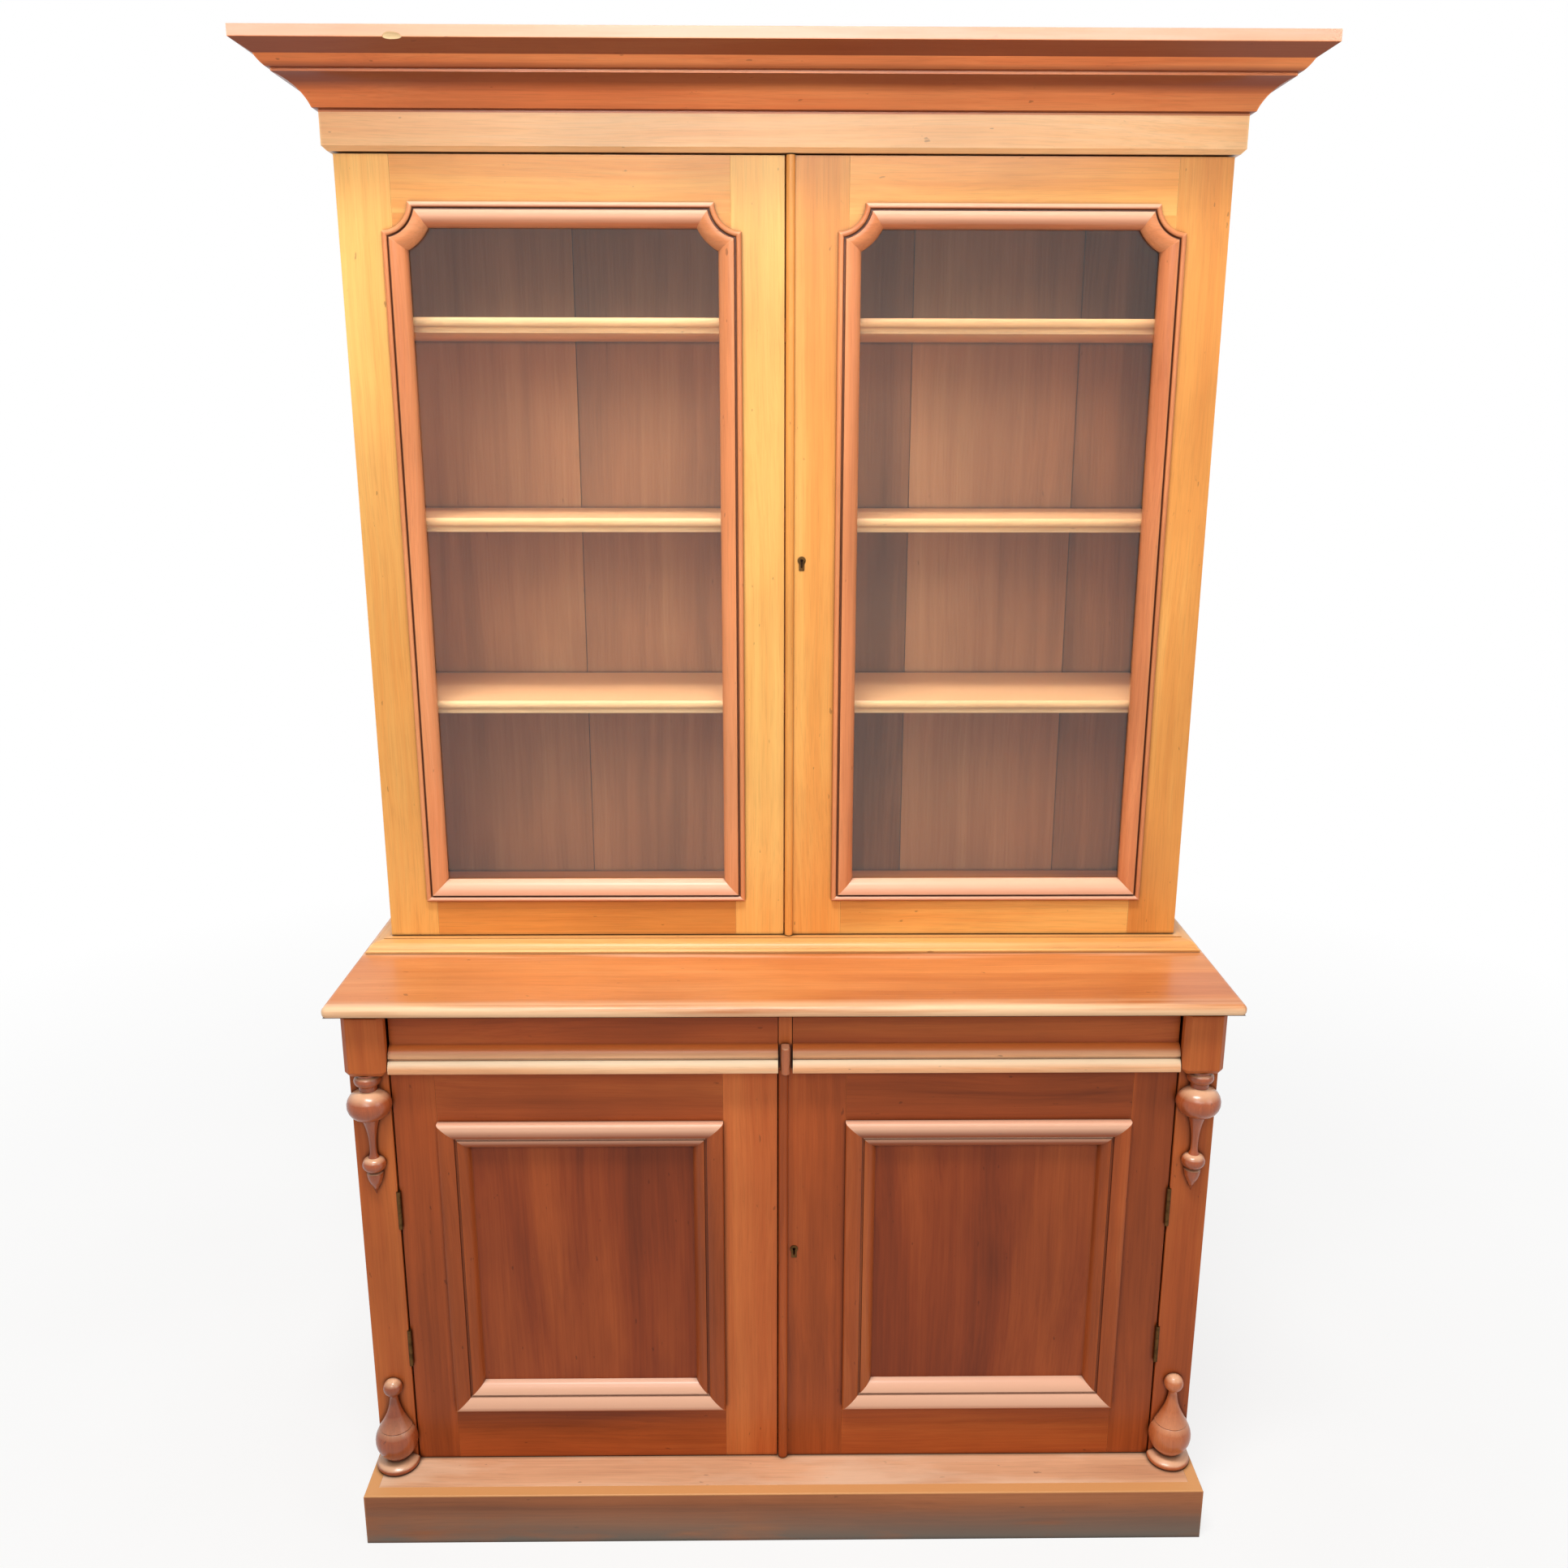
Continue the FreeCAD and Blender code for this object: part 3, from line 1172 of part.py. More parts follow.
doc.recompute()
for feature in doc.Objects:
    if "Invalid" in feature.State or "Error" in feature.State:
        raise RuntimeError("%s failed: %s" % (feature.Name, feature.State))
os.makedirs("parts", exist_ok=True)
for feature in nodes:
    shape = feature.Shape
    if shape.isNull() or not shape.isValid() or not shape.Solids:
        raise RuntimeError("%s has no sound shape" % feature.Label)
for feature in nodes:
    feature.Shape.exportStep("parts/%s.step" % feature.Label)
print("%d sub-parts, %d solids" % (len(nodes), sum(len(feature.Shape.Solids) for feature in nodes)))
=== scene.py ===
import bpy
import json
from itertools import count
from math import asin, atan, cos, pi, radians, sin, sqrt, tan
from mathutils import Matrix, Vector


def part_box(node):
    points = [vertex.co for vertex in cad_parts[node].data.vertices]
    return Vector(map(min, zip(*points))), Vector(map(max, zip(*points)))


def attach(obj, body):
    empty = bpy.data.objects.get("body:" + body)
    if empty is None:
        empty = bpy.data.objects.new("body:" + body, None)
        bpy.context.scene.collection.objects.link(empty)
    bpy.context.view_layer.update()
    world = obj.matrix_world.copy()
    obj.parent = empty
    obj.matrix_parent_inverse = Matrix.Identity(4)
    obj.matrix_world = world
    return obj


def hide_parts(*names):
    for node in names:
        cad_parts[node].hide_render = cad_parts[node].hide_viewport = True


# A mahogany library bookcase in two stages: glazed doors over drawers and panelled doors.
# Lengths are in metres; X runs to the right, Y to the back and Z up.
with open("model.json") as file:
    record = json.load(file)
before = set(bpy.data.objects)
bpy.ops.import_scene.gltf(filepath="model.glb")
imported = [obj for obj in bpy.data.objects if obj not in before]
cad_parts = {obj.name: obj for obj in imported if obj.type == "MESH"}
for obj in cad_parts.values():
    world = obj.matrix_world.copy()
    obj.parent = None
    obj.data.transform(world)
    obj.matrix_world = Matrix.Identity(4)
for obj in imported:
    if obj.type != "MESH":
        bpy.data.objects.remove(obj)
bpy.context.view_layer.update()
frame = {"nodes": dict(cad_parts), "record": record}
mm = 0.001
# points nearer to each other than this are one
hair = 0.01 * mm


# Plinth
# A low mitred frame of mahogany boards that carries everything, worn grey where shoes meet it.
# Its top is a flush board that stands out in front of the doors and gathers dust.

def srgb(red, green, blue):
    """A colour as read from a picture, 0 to 255, as the linear values that shaders take."""
    return tuple(((value / 255 + 0.055) / 1.055) ** 2.4 for value in (red, green, blue)) + (1,)


def node(tree, kind, inputs=(), **settings):
    """One shader node; each input is a value, or another node's output to link."""
    made = tree.nodes.new(kind)
    for name, value in settings.items():
        setattr(made, name, value)
    for name, value in dict(inputs).items():
        if isinstance(value, bpy.types.NodeSocket):
            tree.links.new(value, made.inputs[name])
        else:
            made.inputs[name].default_value = value
    return made


def sums(tree, how, first, second):
    """Two values put together as a math node does."""
    return node(tree, "ShaderNodeMath", {0: first, 1: second}, operation=how).outputs[0]


def between(tree, value, start, end, low=0.0, high=1.0):
    """A value spread from one range to another, and held at its ends."""
    ends = {"From Min": start, "From Max": end, "To Min": low, "To Max": high}
    return node(tree, "ShaderNodeMapRange", {"Value": value, **ends}).outputs[0]


def in_place(tree):
    """Places on the piece, in metres from the frame's origin."""
    return node(tree, "ShaderNodeTexCoord").outputs["Object"]


def noise(tree, place, stretch, detail=4.0, distortion=0.0):
    """Noise with its own scale along the grain and across it."""
    spread = node(tree, "ShaderNodeMapping", {"Vector": place, "Scale": stretch})
    return node(tree, "ShaderNodeTexNoise", {"Vector": spread.outputs[0], "Scale": 1.0, "Detail": detail,
                                             "Distortion": distortion}).outputs["Fac"]


def blend_colours(tree, share, first, second, how="MIX"):
    """Two colours mixed by a share, each a colour or an output."""
    return node(tree, "ShaderNodeMix", {"Factor": share, "A": first, "B": second}, data_type="RGBA",
                blend_type=how).outputs["Result"]


def ramp(tree, value, stops):
    """A value turned into colours, or into greys where a stop is a single number."""
    made = node(tree, "ShaderNodeValToRGB", {"Fac": value})
    elements = made.color_ramp.elements
    while len(elements) < len(stops):
        elements.new(0.5)
    for element, (place, colour) in zip(elements, stops):
        element.position = place
        element.color = colour if isinstance(colour, tuple) else (colour, colour, colour, 1)
    return made.outputs["Color"]


def new_material(name):
    """A material with its node tree and its shader."""
    material = bpy.data.materials.new(name)
    material.use_nodes = True
    return material, material.node_tree, material.node_tree.nodes["Principled BSDF"]


edge_wear_highlight_reach = 2 * mm
crease_shade_reach = 10 * mm
pore_deep = 0.3 * mm
crease_shade_colour = (0.06, 0.018, 0.008, 1)


def polished_wood(name, dark, middle, light, bands=(0.9, 40, 40), figure=(0.7, 6, 6), contrast=1.0,
                  gloss=0.34, shine=0.3, coat=0.12, own_grain=True, finish=None, crease_shade=0.85, wear_and_highlight=0.45):
    """Figured wood under polish. The grain runs along the first axis of the piece's own grain
    attribute, or, on a CAD piece, along X. Painted shade darkens the quirks and creases, and the edges pale
    as wear and painted highlight."""
    material, tree, shader = new_material(name)
    if own_grain:
        place = node(tree, "ShaderNodeAttribute", attribute_name="grain").outputs["Vector"]
    else:
        place = in_place(tree)
    # the grain wanders a little across the board
    wander = noise(tree, place, (1.3, 3, 3), detail=2)
    shift = node(tree, "ShaderNodeVectorMath", {0: (0, 0.05, 0.05), "Scale": wander}, operation="SCALE")
    grain = node(tree, "ShaderNodeVectorMath", {0: place, 1: shift.outputs[0]}, operation="ADD").outputs[0]
    streaks = noise(tree, grain, bands, detail=4, distortion=0.3)
    lines = noise(tree, grain, (3.5, 230, 230), detail=3)
    broad = noise(tree, grain, figure, detail=4, distortion=0.9)
    tone = noise(tree, place, (0.25, 1.2, 1.2), detail=1)
    mixed = 0.0
    for layer, weight in ((streaks, 0.2), (lines, 0.1), (broad, 0.35), (tone, 0.35)):
        mixed = sums(tree, "ADD", sums(tree, "MULTIPLY", layer, weight), mixed)
    spread = 0.15 / contrast
    colour = ramp(tree, mixed, [(0.5 - spread, dark), (0.5, middle), (0.5 + spread, light)])
    pores = noise(tree, grain, (16, 700, 700), detail=2)
    colour = blend_colours(tree, 0.25, colour, ramp(tree, pores, [(0.36, 0.65), (0.5, 1.0)]), "MULTIPLY")
    blotches = noise(tree, place, (3, 5, 5), detail=5)
    colour = blend_colours(tree, 0.7, colour, ramp(tree, blotches, [(0.36, 0.78), (0.6, 1.0)]), "MULTIPLY")
    knocks = noise(tree, place, (45, 130, 130), detail=2)
    colour = blend_colours(tree, 0.6, colour, ramp(tree, knocks, [(0.24, 0.35), (0.27, 1.0)]), "MULTIPLY")
    # its rays go into the wood, where edges and corners lie in shade; there the colour pales towards the
    # light tone, as wear and painted highlight
    edges = node(tree, "ShaderNodeAmbientOcclusion", {"Distance": edge_wear_highlight_reach}, samples=6, inside=True,
                 only_local=True)
    edge_wear_and_highlight = between(tree, edges.outputs["AO"], 0.75, 0.45, 0.0, wear_and_highlight)
    colour = blend_colours(tree, edge_wear_and_highlight, colour, light)
    if finish:
        colour = finish(tree, colour)
    # painted shade: the colour darkens in creases, quirks and joints, where ambient occlusion finds shade
    crease = node(tree, "ShaderNodeAmbientOcclusion", {"Distance": crease_shade_reach}, samples=8)
    painted_crease_shade = ramp(tree, crease.outputs["AO"], [(0.38, crease_shade_colour), (0.82, 1)])
    colour = blend_colours(tree, crease_shade, colour, painted_crease_shade, "MULTIPLY")
    tree.links.new(colour, shader.inputs["Base Color"])
    tree.links.new(between(tree, broad, 0.3, 0.7, gloss - 0.05, gloss + 0.1), shader.inputs["Roughness"])
    bump = node(tree, "ShaderNodeBump", {"Strength": 0.12, "Distance": pore_deep, "Height": pores})
    tree.links.new(bump.outputs[0], shader.inputs["Normal"])
    shader.inputs["Specular IOR Level"].default_value = shine
    shader.inputs["Coat Weight"].default_value = coat
    shader.inputs["Coat Roughness"].default_value = 0.2
    return material


def fade(tree, axis, start, end):
    """A share that goes from 1 at one place along an axis to 0 at another."""
    along = node(tree, "ShaderNodeSeparateXYZ", {"Vector": in_place(tree)}).outputs[axis]
    return between(tree, along, start, end, 1.0, 0.0)


def patches(tree, share, scale, cover):
    """Soft patches, as large as their scale says, thinned out by a share."""
    cloud = noise(tree, in_place(tree), scale, detail=7)
    return sums(tree, "MULTIPLY", between(tree, cloud, 0.62 - cover, 0.7 - cover / 2), share)


def looking_up(tree, start, end, most=1.0):
    """A share that grows as a face turns from one upward tilt to another."""
    facing = node(tree, "ShaderNodeNewGeometry").outputs["Normal"]
    up = node(tree, "ShaderNodeSeparateXYZ", {"Vector": facing}).outputs["Z"]
    return between(tree, up, start, end, 0.0, most)


def deselect():
    """Leave edit mode, with nothing selected."""
    if bpy.context.object and bpy.context.object.mode != "OBJECT":
        bpy.ops.object.mode_set(mode="OBJECT")
    bpy.ops.object.select_all(action="DESELECT")


# the grain's axis comes first
ALONG = {"X": (0, 1, 2), "Y": (1, 0, 2), "Z": (2, 0, 1)}
timber = count(1)
# how far each board starts from the last in the timber, and the timber's size, along and across
timber_step = (1.37, 0.61, 0.83)
timber_size = (5, 3, 3)


def lay_grain(piece):
    """Give a board its own stretch of timber, its grain along the axis that it was cut to."""
    number = next(timber)
    start = Vector(number * step % size for step, size in zip(timber_step, timber_size))
    axes = ALONG[piece["along"]]
    del piece["along"]
    grain = piece.data.attributes.new("grain", "FLOAT_VECTOR", "POINT")
    for vertex, value in zip(piece.data.vertices, grain.data):
        value.vector = Vector(vertex.co[axis] for axis in axes) + start


def block(name, low, high, along):
    """A sawn block between two corners."""
    deselect()
    low, high = Vector(low), Vector(high)
    bpy.ops.mesh.primitive_cube_add(size=1, location=(low + high) / 2)
    piece = bpy.context.object
    piece.name = name
    piece.scale = high - low
    bpy.ops.object.transform_apply(location=True, rotation=True, scale=True)
    piece["along"] = along
    return piece


planed_edge = 0.5 * mm


def ease_edges(piece, size):
    """Take the sharpness off every edge."""
    edges = piece.modifiers.new("eased", "BEVEL")
    edges.width = size
    edges.segments = 2
    bpy.ops.object.modifier_apply(modifier="eased")


def board(name, low, high, along="X", ease=planed_edge):
    """A planed board between two corners, its edges eased."""
    piece = block(name, low, high, along)
    ease_edges(piece, ease)
    return piece


arc_steps = 9


def curve(points):
    """An outline's points with its arcs filled in. A third value is the rise of the arc that ends
    there, over half its chord."""
    line = []
    for index, point in enumerate(points):
        x1, y1 = point[:2]
        if len(point) > 2:
            x0, y0 = points[index - 1][:2]
            bulge = point[2]
            share = (1 - bulge * bulge) / (4 * bulge)
            centre = Vector(((x0 + x1) / 2 - (y1 - y0) * share, (y0 + y1) / 2 + (x1 - x0) * share))
            arm = Vector((x0, y0)) - centre
            turn = 4 * atan(bulge)
            for step in range(1, arc_steps):
                angle = turn * step / arc_steps
                line.append((centre.x + arm.x * cos(angle) - arm.y * sin(angle),
                             centre.y + arm.x * sin(angle) + arm.y * cos(angle)))
        line.append((x1, y1))
    return line


def scaled(shares, wide, high):
    """An outline written in shares, at its size."""
    return [(point[0] * wide, point[1] * high) + tuple(point[2:]) for point in shares]


def draw(name, spots):
    """Draw a line through some spots and stay in edit mode with all of it selected."""
    deselect()
    bpy.ops.mesh.primitive_plane_add(size=1)
    piece = bpy.context.object
    piece.name = name
    bpy.ops.object.mode_set(mode="EDIT")
    bpy.ops.mesh.merge(type="CENTER")
    bpy.ops.transform.translate(value=spots[0])
    for last, spot in zip(spots, spots[1:]):
        bpy.ops.mesh.extrude_region_move(TRANSFORM_OT_translate={"value": spot - last})
    bpy.ops.mesh.select_all(action="SELECT")
    return piece


def normals_outwards():
    """Turn the faces of the piece in hand outwards, and leave edit mode."""
    bpy.ops.mesh.select_all(action="SELECT")
    bpy.ops.mesh.normals_make_consistent(inside=False)
    bpy.ops.object.mode_set(mode="OBJECT")


def moulding(name, outline, start, run, out, up, along="X", mitres=()):
    """A length of moulding: its outline drawn at the start, drawn out along its run, and mitred.
    A mitre is a place that the cut goes through and the way that the waste lies."""
    start, out, up = Vector(start), Vector(out), Vector(up)
    piece = draw(name, [start + out * point[0] + up * point[1] for point in curve(outline)])
    bpy.ops.mesh.edge_face_add()
    bpy.ops.mesh.extrude_region_move(TRANSFORM_OT_translate={"value": run})
    for place, waste in mitres:
        bpy.ops.mesh.select_all(action="SELECT")
        bpy.ops.mesh.bisect(plane_co=place, plane_no=waste, use_fill=True, clear_outer=True, threshold=hair)
    normals_outwards()
    piece["along"] = along
    return piece


def wrapped(name, outline, half, front, back, foot):
    """A moulding round the front and both ends, mitred at the front corners."""
    reach = max(point[0] for point in curve(outline))
    upright = (0, 0, 1)
    mitres = [((side * half, front, foot), (side, 1, 0)) for side in (-1, 1)]
    lengths = [moulding(name + "_front", outline, (-half - reach, front, foot), (2 * (half + reach), 0, 0),
                        (0, -1, 0), upright, "X", mitres)]
    for side in (-1, 1):
        lengths.append(moulding("%s_end_%d" % (name, side), outline, (side * half, back, foot),
                                (0, front - reach - back, 0), (side, 0, 0), upright, "Y",
                                [((side * half, front, foot), (-side, -1, 0))]))
    return lengths


def carve(boards, shape):
    """Take one shape out of every board; the cut takes the shape's own material, if it has one."""
    for piece in boards:
        deselect()
        bpy.context.view_layer.objects.active = piece
        bed = piece.modifiers.new("bed", "BOOLEAN")
        bed.object = shape
        bed.solver = "EXACT"
        bed.material_mode = "TRANSFER" if shape.data.materials else "INDEX"
        bpy.ops.object.modifier_apply(modifier="bed")
    bpy.data.objects.remove(shape)


def made_up(name, parts, body, nodes, material, smooth=25):
    """Join a piece's boards, finish them, and let them stand for CAD nodes on one body."""
    deselect()
    for part in parts:
        lay_grain(part)
        part.select_set(True)
        if not part.data.materials:
            part.data.materials.append(material)
    bpy.context.view_layer.objects.active = parts[0]
    if len(parts) > 1:
        bpy.ops.object.join()
    piece = bpy.context.object
    piece.name = name
    bpy.ops.object.shade_smooth_by_angle(angle=radians(smooth))
    flats = piece.modifiers.new("flats", "WEIGHTED_NORMAL")
    flats.keep_sharp = True
    bpy.ops.object.modifier_apply(modifier="flats")
    deselect()
    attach(piece, body)
    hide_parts(*nodes)
    return piece


plinth_low, plinth_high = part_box("plinth_frame")
top_low, top_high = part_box("plinth_top_board")
scuffed_share = 0.8
bare_down, polish_down = 0.5 * mm, 3 * mm


def scuffs(tree, colour):
    """Grey scuffing that thickens towards the floor, under a top edge rubbed to bare wood."""
    share = patches(tree, fade(tree, "Z", 0.0, plinth_high.z * scuffed_share), (5, 5, 26), 0.4)
    colour = blend_colours(tree, share, colour, srgb(104, 96, 86))
    edge = fade(tree, "Z", plinth_high.z - bare_down, plinth_high.z - polish_down)
    return blend_colours(tree, sums(tree, "MULTIPLY", edge, 0.85), colour, srgb(232, 168, 106))


def dust(tree, colour):
    """Pale dust in loose drifts."""
    return blend_colours(tree, patches(tree, 0.6, (4, 14, 14), 0.16), colour, srgb(240, 204, 172))


plinth_wood = polished_wood("scuffed mahogany", srgb(120, 66, 36), srgb(166, 98, 56), srgb(192, 124, 78),
                            gloss=0.45, coat=0.05, finish=scuffs)
dusty_wood = polished_wood("dusty mahogany", srgb(194, 130, 92), srgb(236, 180, 138), srgb(250, 210, 174),
                           gloss=0.48, coat=0.0, finish=dust)
thick = top_low.y - plinth_low.y
edge_round = 2 * mm
quarter_turn = tan(pi / 8)
plinth_outline = [(-thick, 0), (0, 0), (0, plinth_high.z - edge_round),
                  (-edge_round, plinth_high.z, quarter_turn), (-thick, plinth_high.z)]
plinth = wrapped("plinth", plinth_outline, plinth_high.x, plinth_low.y, plinth_high.y, 0)
plinth.append(board("plinth_back", (-top_high.x, plinth_high.y - thick, 0),
                    (top_high.x, plinth_high.y, plinth_high.z)))
made_up("plinth_boards", plinth, "carcase", ["plinth_frame"], plinth_wood)
made_up("plinth_top", [board("plinth_top", top_low, top_high)], "carcase", ["plinth_top_board"],
        dusty_wood)


# Lower carcase
# Red-brown mahogany ends with a flat pilaster down each front corner, and a square block, its foot
# chamfered, on each pilaster beside the drawers. Wide unpolished boards close the back.

red_wood = polished_wood("red mahogany", srgb(118, 50, 16), srgb(174, 82, 34), srgb(206, 114, 54),
                         shine=0.2, coat=0.06)
back_wood = polished_wood("dull back boards", srgb(132, 86, 54), srgb(182, 122, 80), srgb(206, 150, 104),
                          gloss=0.55, coat=0.0, wear_and_highlight=0.1)
handled_edge = 0.8 * mm


def pair_of_boards(name, node_name, inside):
    """Two like boards, one at each end of a CAD node, each from the inside out."""
    low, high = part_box(node_name)
    return [board(name + "_left", low, (-inside, high.y, high.z), "Z", handled_edge),
            board(name + "_right", (inside, low.y, low.z), high, "Z", handled_edge)]


def let_in(boards, *fittings):
    """Cut a bed in the boards for each metal fitting, to its own shape."""
    for fitting in fittings:
        shape = bpy.data.objects.new("bed", frame["nodes"][fitting].data.copy())
        bpy.context.collection.objects.link(shape)
        shape.data.materials.clear()
        deselect()
        bpy.context.view_layer.objects.active = shape
        shape.select_set(True)
        bpy.ops.object.mode_set(mode="EDIT")
        bpy.ops.mesh.select_all(action="SELECT")
        bpy.ops.mesh.remove_doubles(threshold=hair)
        bpy.ops.object.mode_set(mode="OBJECT")
        carve(boards, shape)


side_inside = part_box("drawer_guides")[1].x
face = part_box("pilasters")[0].y
door_gap = 1.7 * mm
pilaster_inside = -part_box("lower_left_door_frame")[0].x + door_gap
ends = pair_of_boards("lower_end", "lower_sides", side_inside)
let_in(ends, "carcase_hinge_leaves", "hinge_pins")
made_up("lower_ends", ends, "carcase", ["lower_sides"], red_wood)
pilasters = pair_of_boards("pilaster", "pilasters", pilaster_inside)
let_in(pilasters, "carcase_hinge_leaves", "hinge_pins")
made_up("pilaster_boards", pilasters, "carcase", ["pilasters"], red_wood)

block_low, block_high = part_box("corner_blocks")
drawer_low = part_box("left_drawer_front")[0]
drawer_gap = 1 * mm
block_wide = block_high.x + drawer_low.x - drawer_gap
block_chamfer = 8 * mm
block_edge = 1 * mm


def pick_edges(piece, wanted):
    """Enter edit mode with the edges selected whose two ends answer a question."""
    for edge in piece.data.edges:
        edge.select = wanted([piece.data.vertices[index].co for index in edge.vertices])
    bpy.ops.object.mode_set(mode="EDIT")


def corner_block(name, left, right):
    """A square block with its foot chamfered on the front and both sides."""
    piece = block(name, (left, block_low.y, block_low.z), (right, block_high.y, block_high.z), "Z")
    pick_edges(piece, lambda ends: all(end.z < block_low.z + hair for end in ends)
               and not all(end.y > block_high.y - hair for end in ends))
    bpy.ops.mesh.bevel(offset=block_chamfer, segments=1)
    bpy.ops.object.mode_set(mode="OBJECT")
    ease_edges(piece, block_edge)
    return piece


blocks = [corner_block("block_left", block_low.x, block_low.x + block_wide),
          corner_block("block_right", block_high.x - block_wide, block_high.x)]
made_up("corner_block_pair", blocks, "carcase", ["corner_blocks"], red_wood)

first_seam, seam_pitch, seam_count = -339 * mm, 275.5 * mm, 4
back_seams = [first_seam + seam_pitch * index for index in range(seam_count)]
seam_gap = 0.3 * mm
seam_edge = 1.2 * mm


def back_of_boards(name, node_name):
    """Wide upright boards with thin open joints."""
    low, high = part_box(node_name)
    edges = [low.x] + [seam for seam in back_seams if low.x < seam < high.x] + [high.x]
    boards = [board("%s_%d" % (name, index), (left + seam_gap, low.y, low.z),
                    (right - seam_gap, high.y, high.z), "Z", seam_edge)
              for index, (left, right) in enumerate(zip(edges, edges[1:]))]
    made_up(name, boards, "carcase", [node_name], back_wood)


back_of_boards("lower_back", "lower_back_boards")


# Split turnings
# A turned pendant, cut in half and flattened, hangs below each block, and a finial stands on the
# plinth at the foot of each pilaster. Their upper sides carry a painted highlight.

PENDANT_SHARES = [(0, 0), (0.46, 0), (0.46, -0.015), (0.46, -0.093, 0.6), (0.41, -0.101), (0.41, -0.134),
                  (0.52, -0.144), (0.52, -0.36, 0.73), (0.4, -0.37), (0.17, -0.66, -0.1), (0.25, -0.688),
                  (0.25, -0.8, 0.84), (0.37, -0.815), (0.15, -0.93, 0.15), (0, -1)]
FINIAL_SHARES = [(0, 0), (0.93, 0), (0.93, 0.06, 0.48), (0.5, 0.1, 0.08), (0.5, 0.112), (0.77, 0.448, 0.44),
                 (0.74, 0.455), (0.77, 0.466), (0.41, 0.61, -0.03), (0.2, 0.79, -0.08), (0.2, 0.815),
                 (0.25, 0.828), (0.25, 0.985, 0.56), (0, 1, 0.12)]
turning_radius = 33.5 * mm
turning_flat = 5 * mm
turning_sides = 48


def upward_highlight(highlight_colour, start, end, most):
    """Painted highlight: the colour pales where a face looks up."""
    def finish(tree, colour):
        return blend_colours(tree, looking_up(tree, start, end, most), colour, highlight_colour)
    return finish


# painted highlight: the turnings and the divider's nose are paler where they face up
turned_wood = polished_wood("turned mahogany", srgb(122, 54, 24), srgb(176, 86, 42), srgb(208, 120, 68),
                            gloss=0.26, shine=0.45, coat=0.3,
                            finish=upward_highlight(srgb(250, 200, 158), 0.4, 0.95, 0.8))


def turning(name, shares, length, centre):
    """A turning spun from its outline about an upright axis, its back planed flat."""
    # outlines that run downwards bulge the other way
    way = -1 if shares[-1][1] < 0 else 1
    outline = curve([(point[0] * turning_radius, point[1] * length) + tuple(rise * way for rise in point[2:])
                     for point in shares])
    piece = draw(name, [centre + Vector((radius, 0, up)) for radius, up in outline])
    bpy.ops.mesh.spin(steps=turning_sides, angle=2 * pi, center=centre, axis=(0, 0, 1))
    bpy.ops.mesh.select_all(action="SELECT")
    bpy.ops.mesh.remove_doubles(threshold=hair)
    bpy.ops.mesh.normals_make_consistent(inside=False)
    bpy.ops.mesh.bisect(plane_co=centre + Vector((0, turning_flat, 0)), plane_no=(0, 1, 0), use_fill=True,
                        clear_outer=True, threshold=hair)
    normals_outwards()
    piece["along"] = "Z"
    return piece


def pair_of_turnings(name, node_name, shares, hangs):
    """Two like turnings, planted on the pilasters' faces by their flat backs."""
    low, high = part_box(node_name)
    x = high.x - turning_radius
    axis_y = face - turning_flat
    pair = [turning("%s_%d" % (name, side), shares, high.z - low.z,
                    Vector((side * x, axis_y, high.z if hangs else low.z))) for side in (-1, 1)]
    made_up(name, pair, "carcase", [node_name], turned_wood, smooth=40)


pair_of_turnings("pendant_pair", "pendants", PENDANT_SHARES, True)
pair_of_turnings("finial_pair", "finials", FINIAL_SHARES, False)


# Lower top board
# A mahogany board with a rounded edge that covers the lower stage and stands out as a ledge. Its
# polish is rubbed through along the front edge.

board_low, board_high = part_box("lower_top_board")
through_back, rubbed_back = 4 * mm, 30 * mm
chafed_from, chafed_to = -50 * mm, -80 * mm
top_round, foot_round, round_steps = 8 * mm, 6 * mm, 6


def rubbed_edge(tree, colour):
    """Polish rubbed pale along the front edge, and chafed in front of the upper stage."""
    front = patches(tree, fade(tree, "Y", board_low.y + through_back, board_low.y + rubbed_back),
                    (2, 60, 60), 0.3)
    colour = blend_colours(tree, front, colour, srgb(240, 194, 150))
    back = patches(tree, fade(tree, "Y", chafed_from, chafed_to), (3, 70, 70), 0.16)
    return blend_colours(tree, sums(tree, "MULTIPLY", back, 0.6), colour, srgb(244, 200, 168))


ledge_wood = polished_wood("ledge mahogany", srgb(176, 90, 42), srgb(212, 130, 70), srgb(234, 162, 100),
                           finish=rubbed_edge)


def rounded_board(name, low, high):
    """A board with its front and end edges rounded over, more above than below."""
    piece = block(name, low, high, "X")
    for level, size in ((high.z, top_round), (low.z, foot_round)):
        pick_edges(piece, lambda ends: all(abs(end.z - level) < hair for end in ends)
                   and not all(end.y > high.y - hair for end in ends))
        bpy.ops.mesh.bevel(offset=size, segments=round_steps)
        bpy.ops.mesh.select_all(action="DESELECT")
        bpy.ops.object.mode_set(mode="OBJECT")
    return piece


made_up("ledge_board", [rounded_board("ledge_board", board_low, board_high)], "carcase",
        ["lower_top_board"], ledge_wood)


# Drawers
# Two frieze drawers side by side, with no handles: the finger pull is a heavy moulding along the foot
# of each front, painted pale with highlight. A rounded nose on the divider parts them.

PULL_SHARES = [(0.38, 0), (0.46, 0.07, 0.35), (0.33, 0.48, 0.28), (0.28, 0.49), (0.28, 0.54), (0.32, 0.57),
               (0.1, 0.93, 0.3), (0, 0.97)]
pull_high = 42 * mm
pull_sunk = 2 * mm
orange_share, highlight_share = 0.82, 0.6


def pull_highlight(tree, colour):
    """Painted highlight where the pull's faces look up, held back to orange on the slope of the upper round.
    """
    colour = upward_highlight(srgb(255, 236, 200), 0.1, 0.6, 0.7)(tree, colour)
    orange_slope = fade(tree, "Z", drawer_low.z + orange_share * pull_high, drawer_low.z + highlight_share * pull_high)
    return blend_colours(tree, orange_slope, colour, srgb(206, 116, 58))
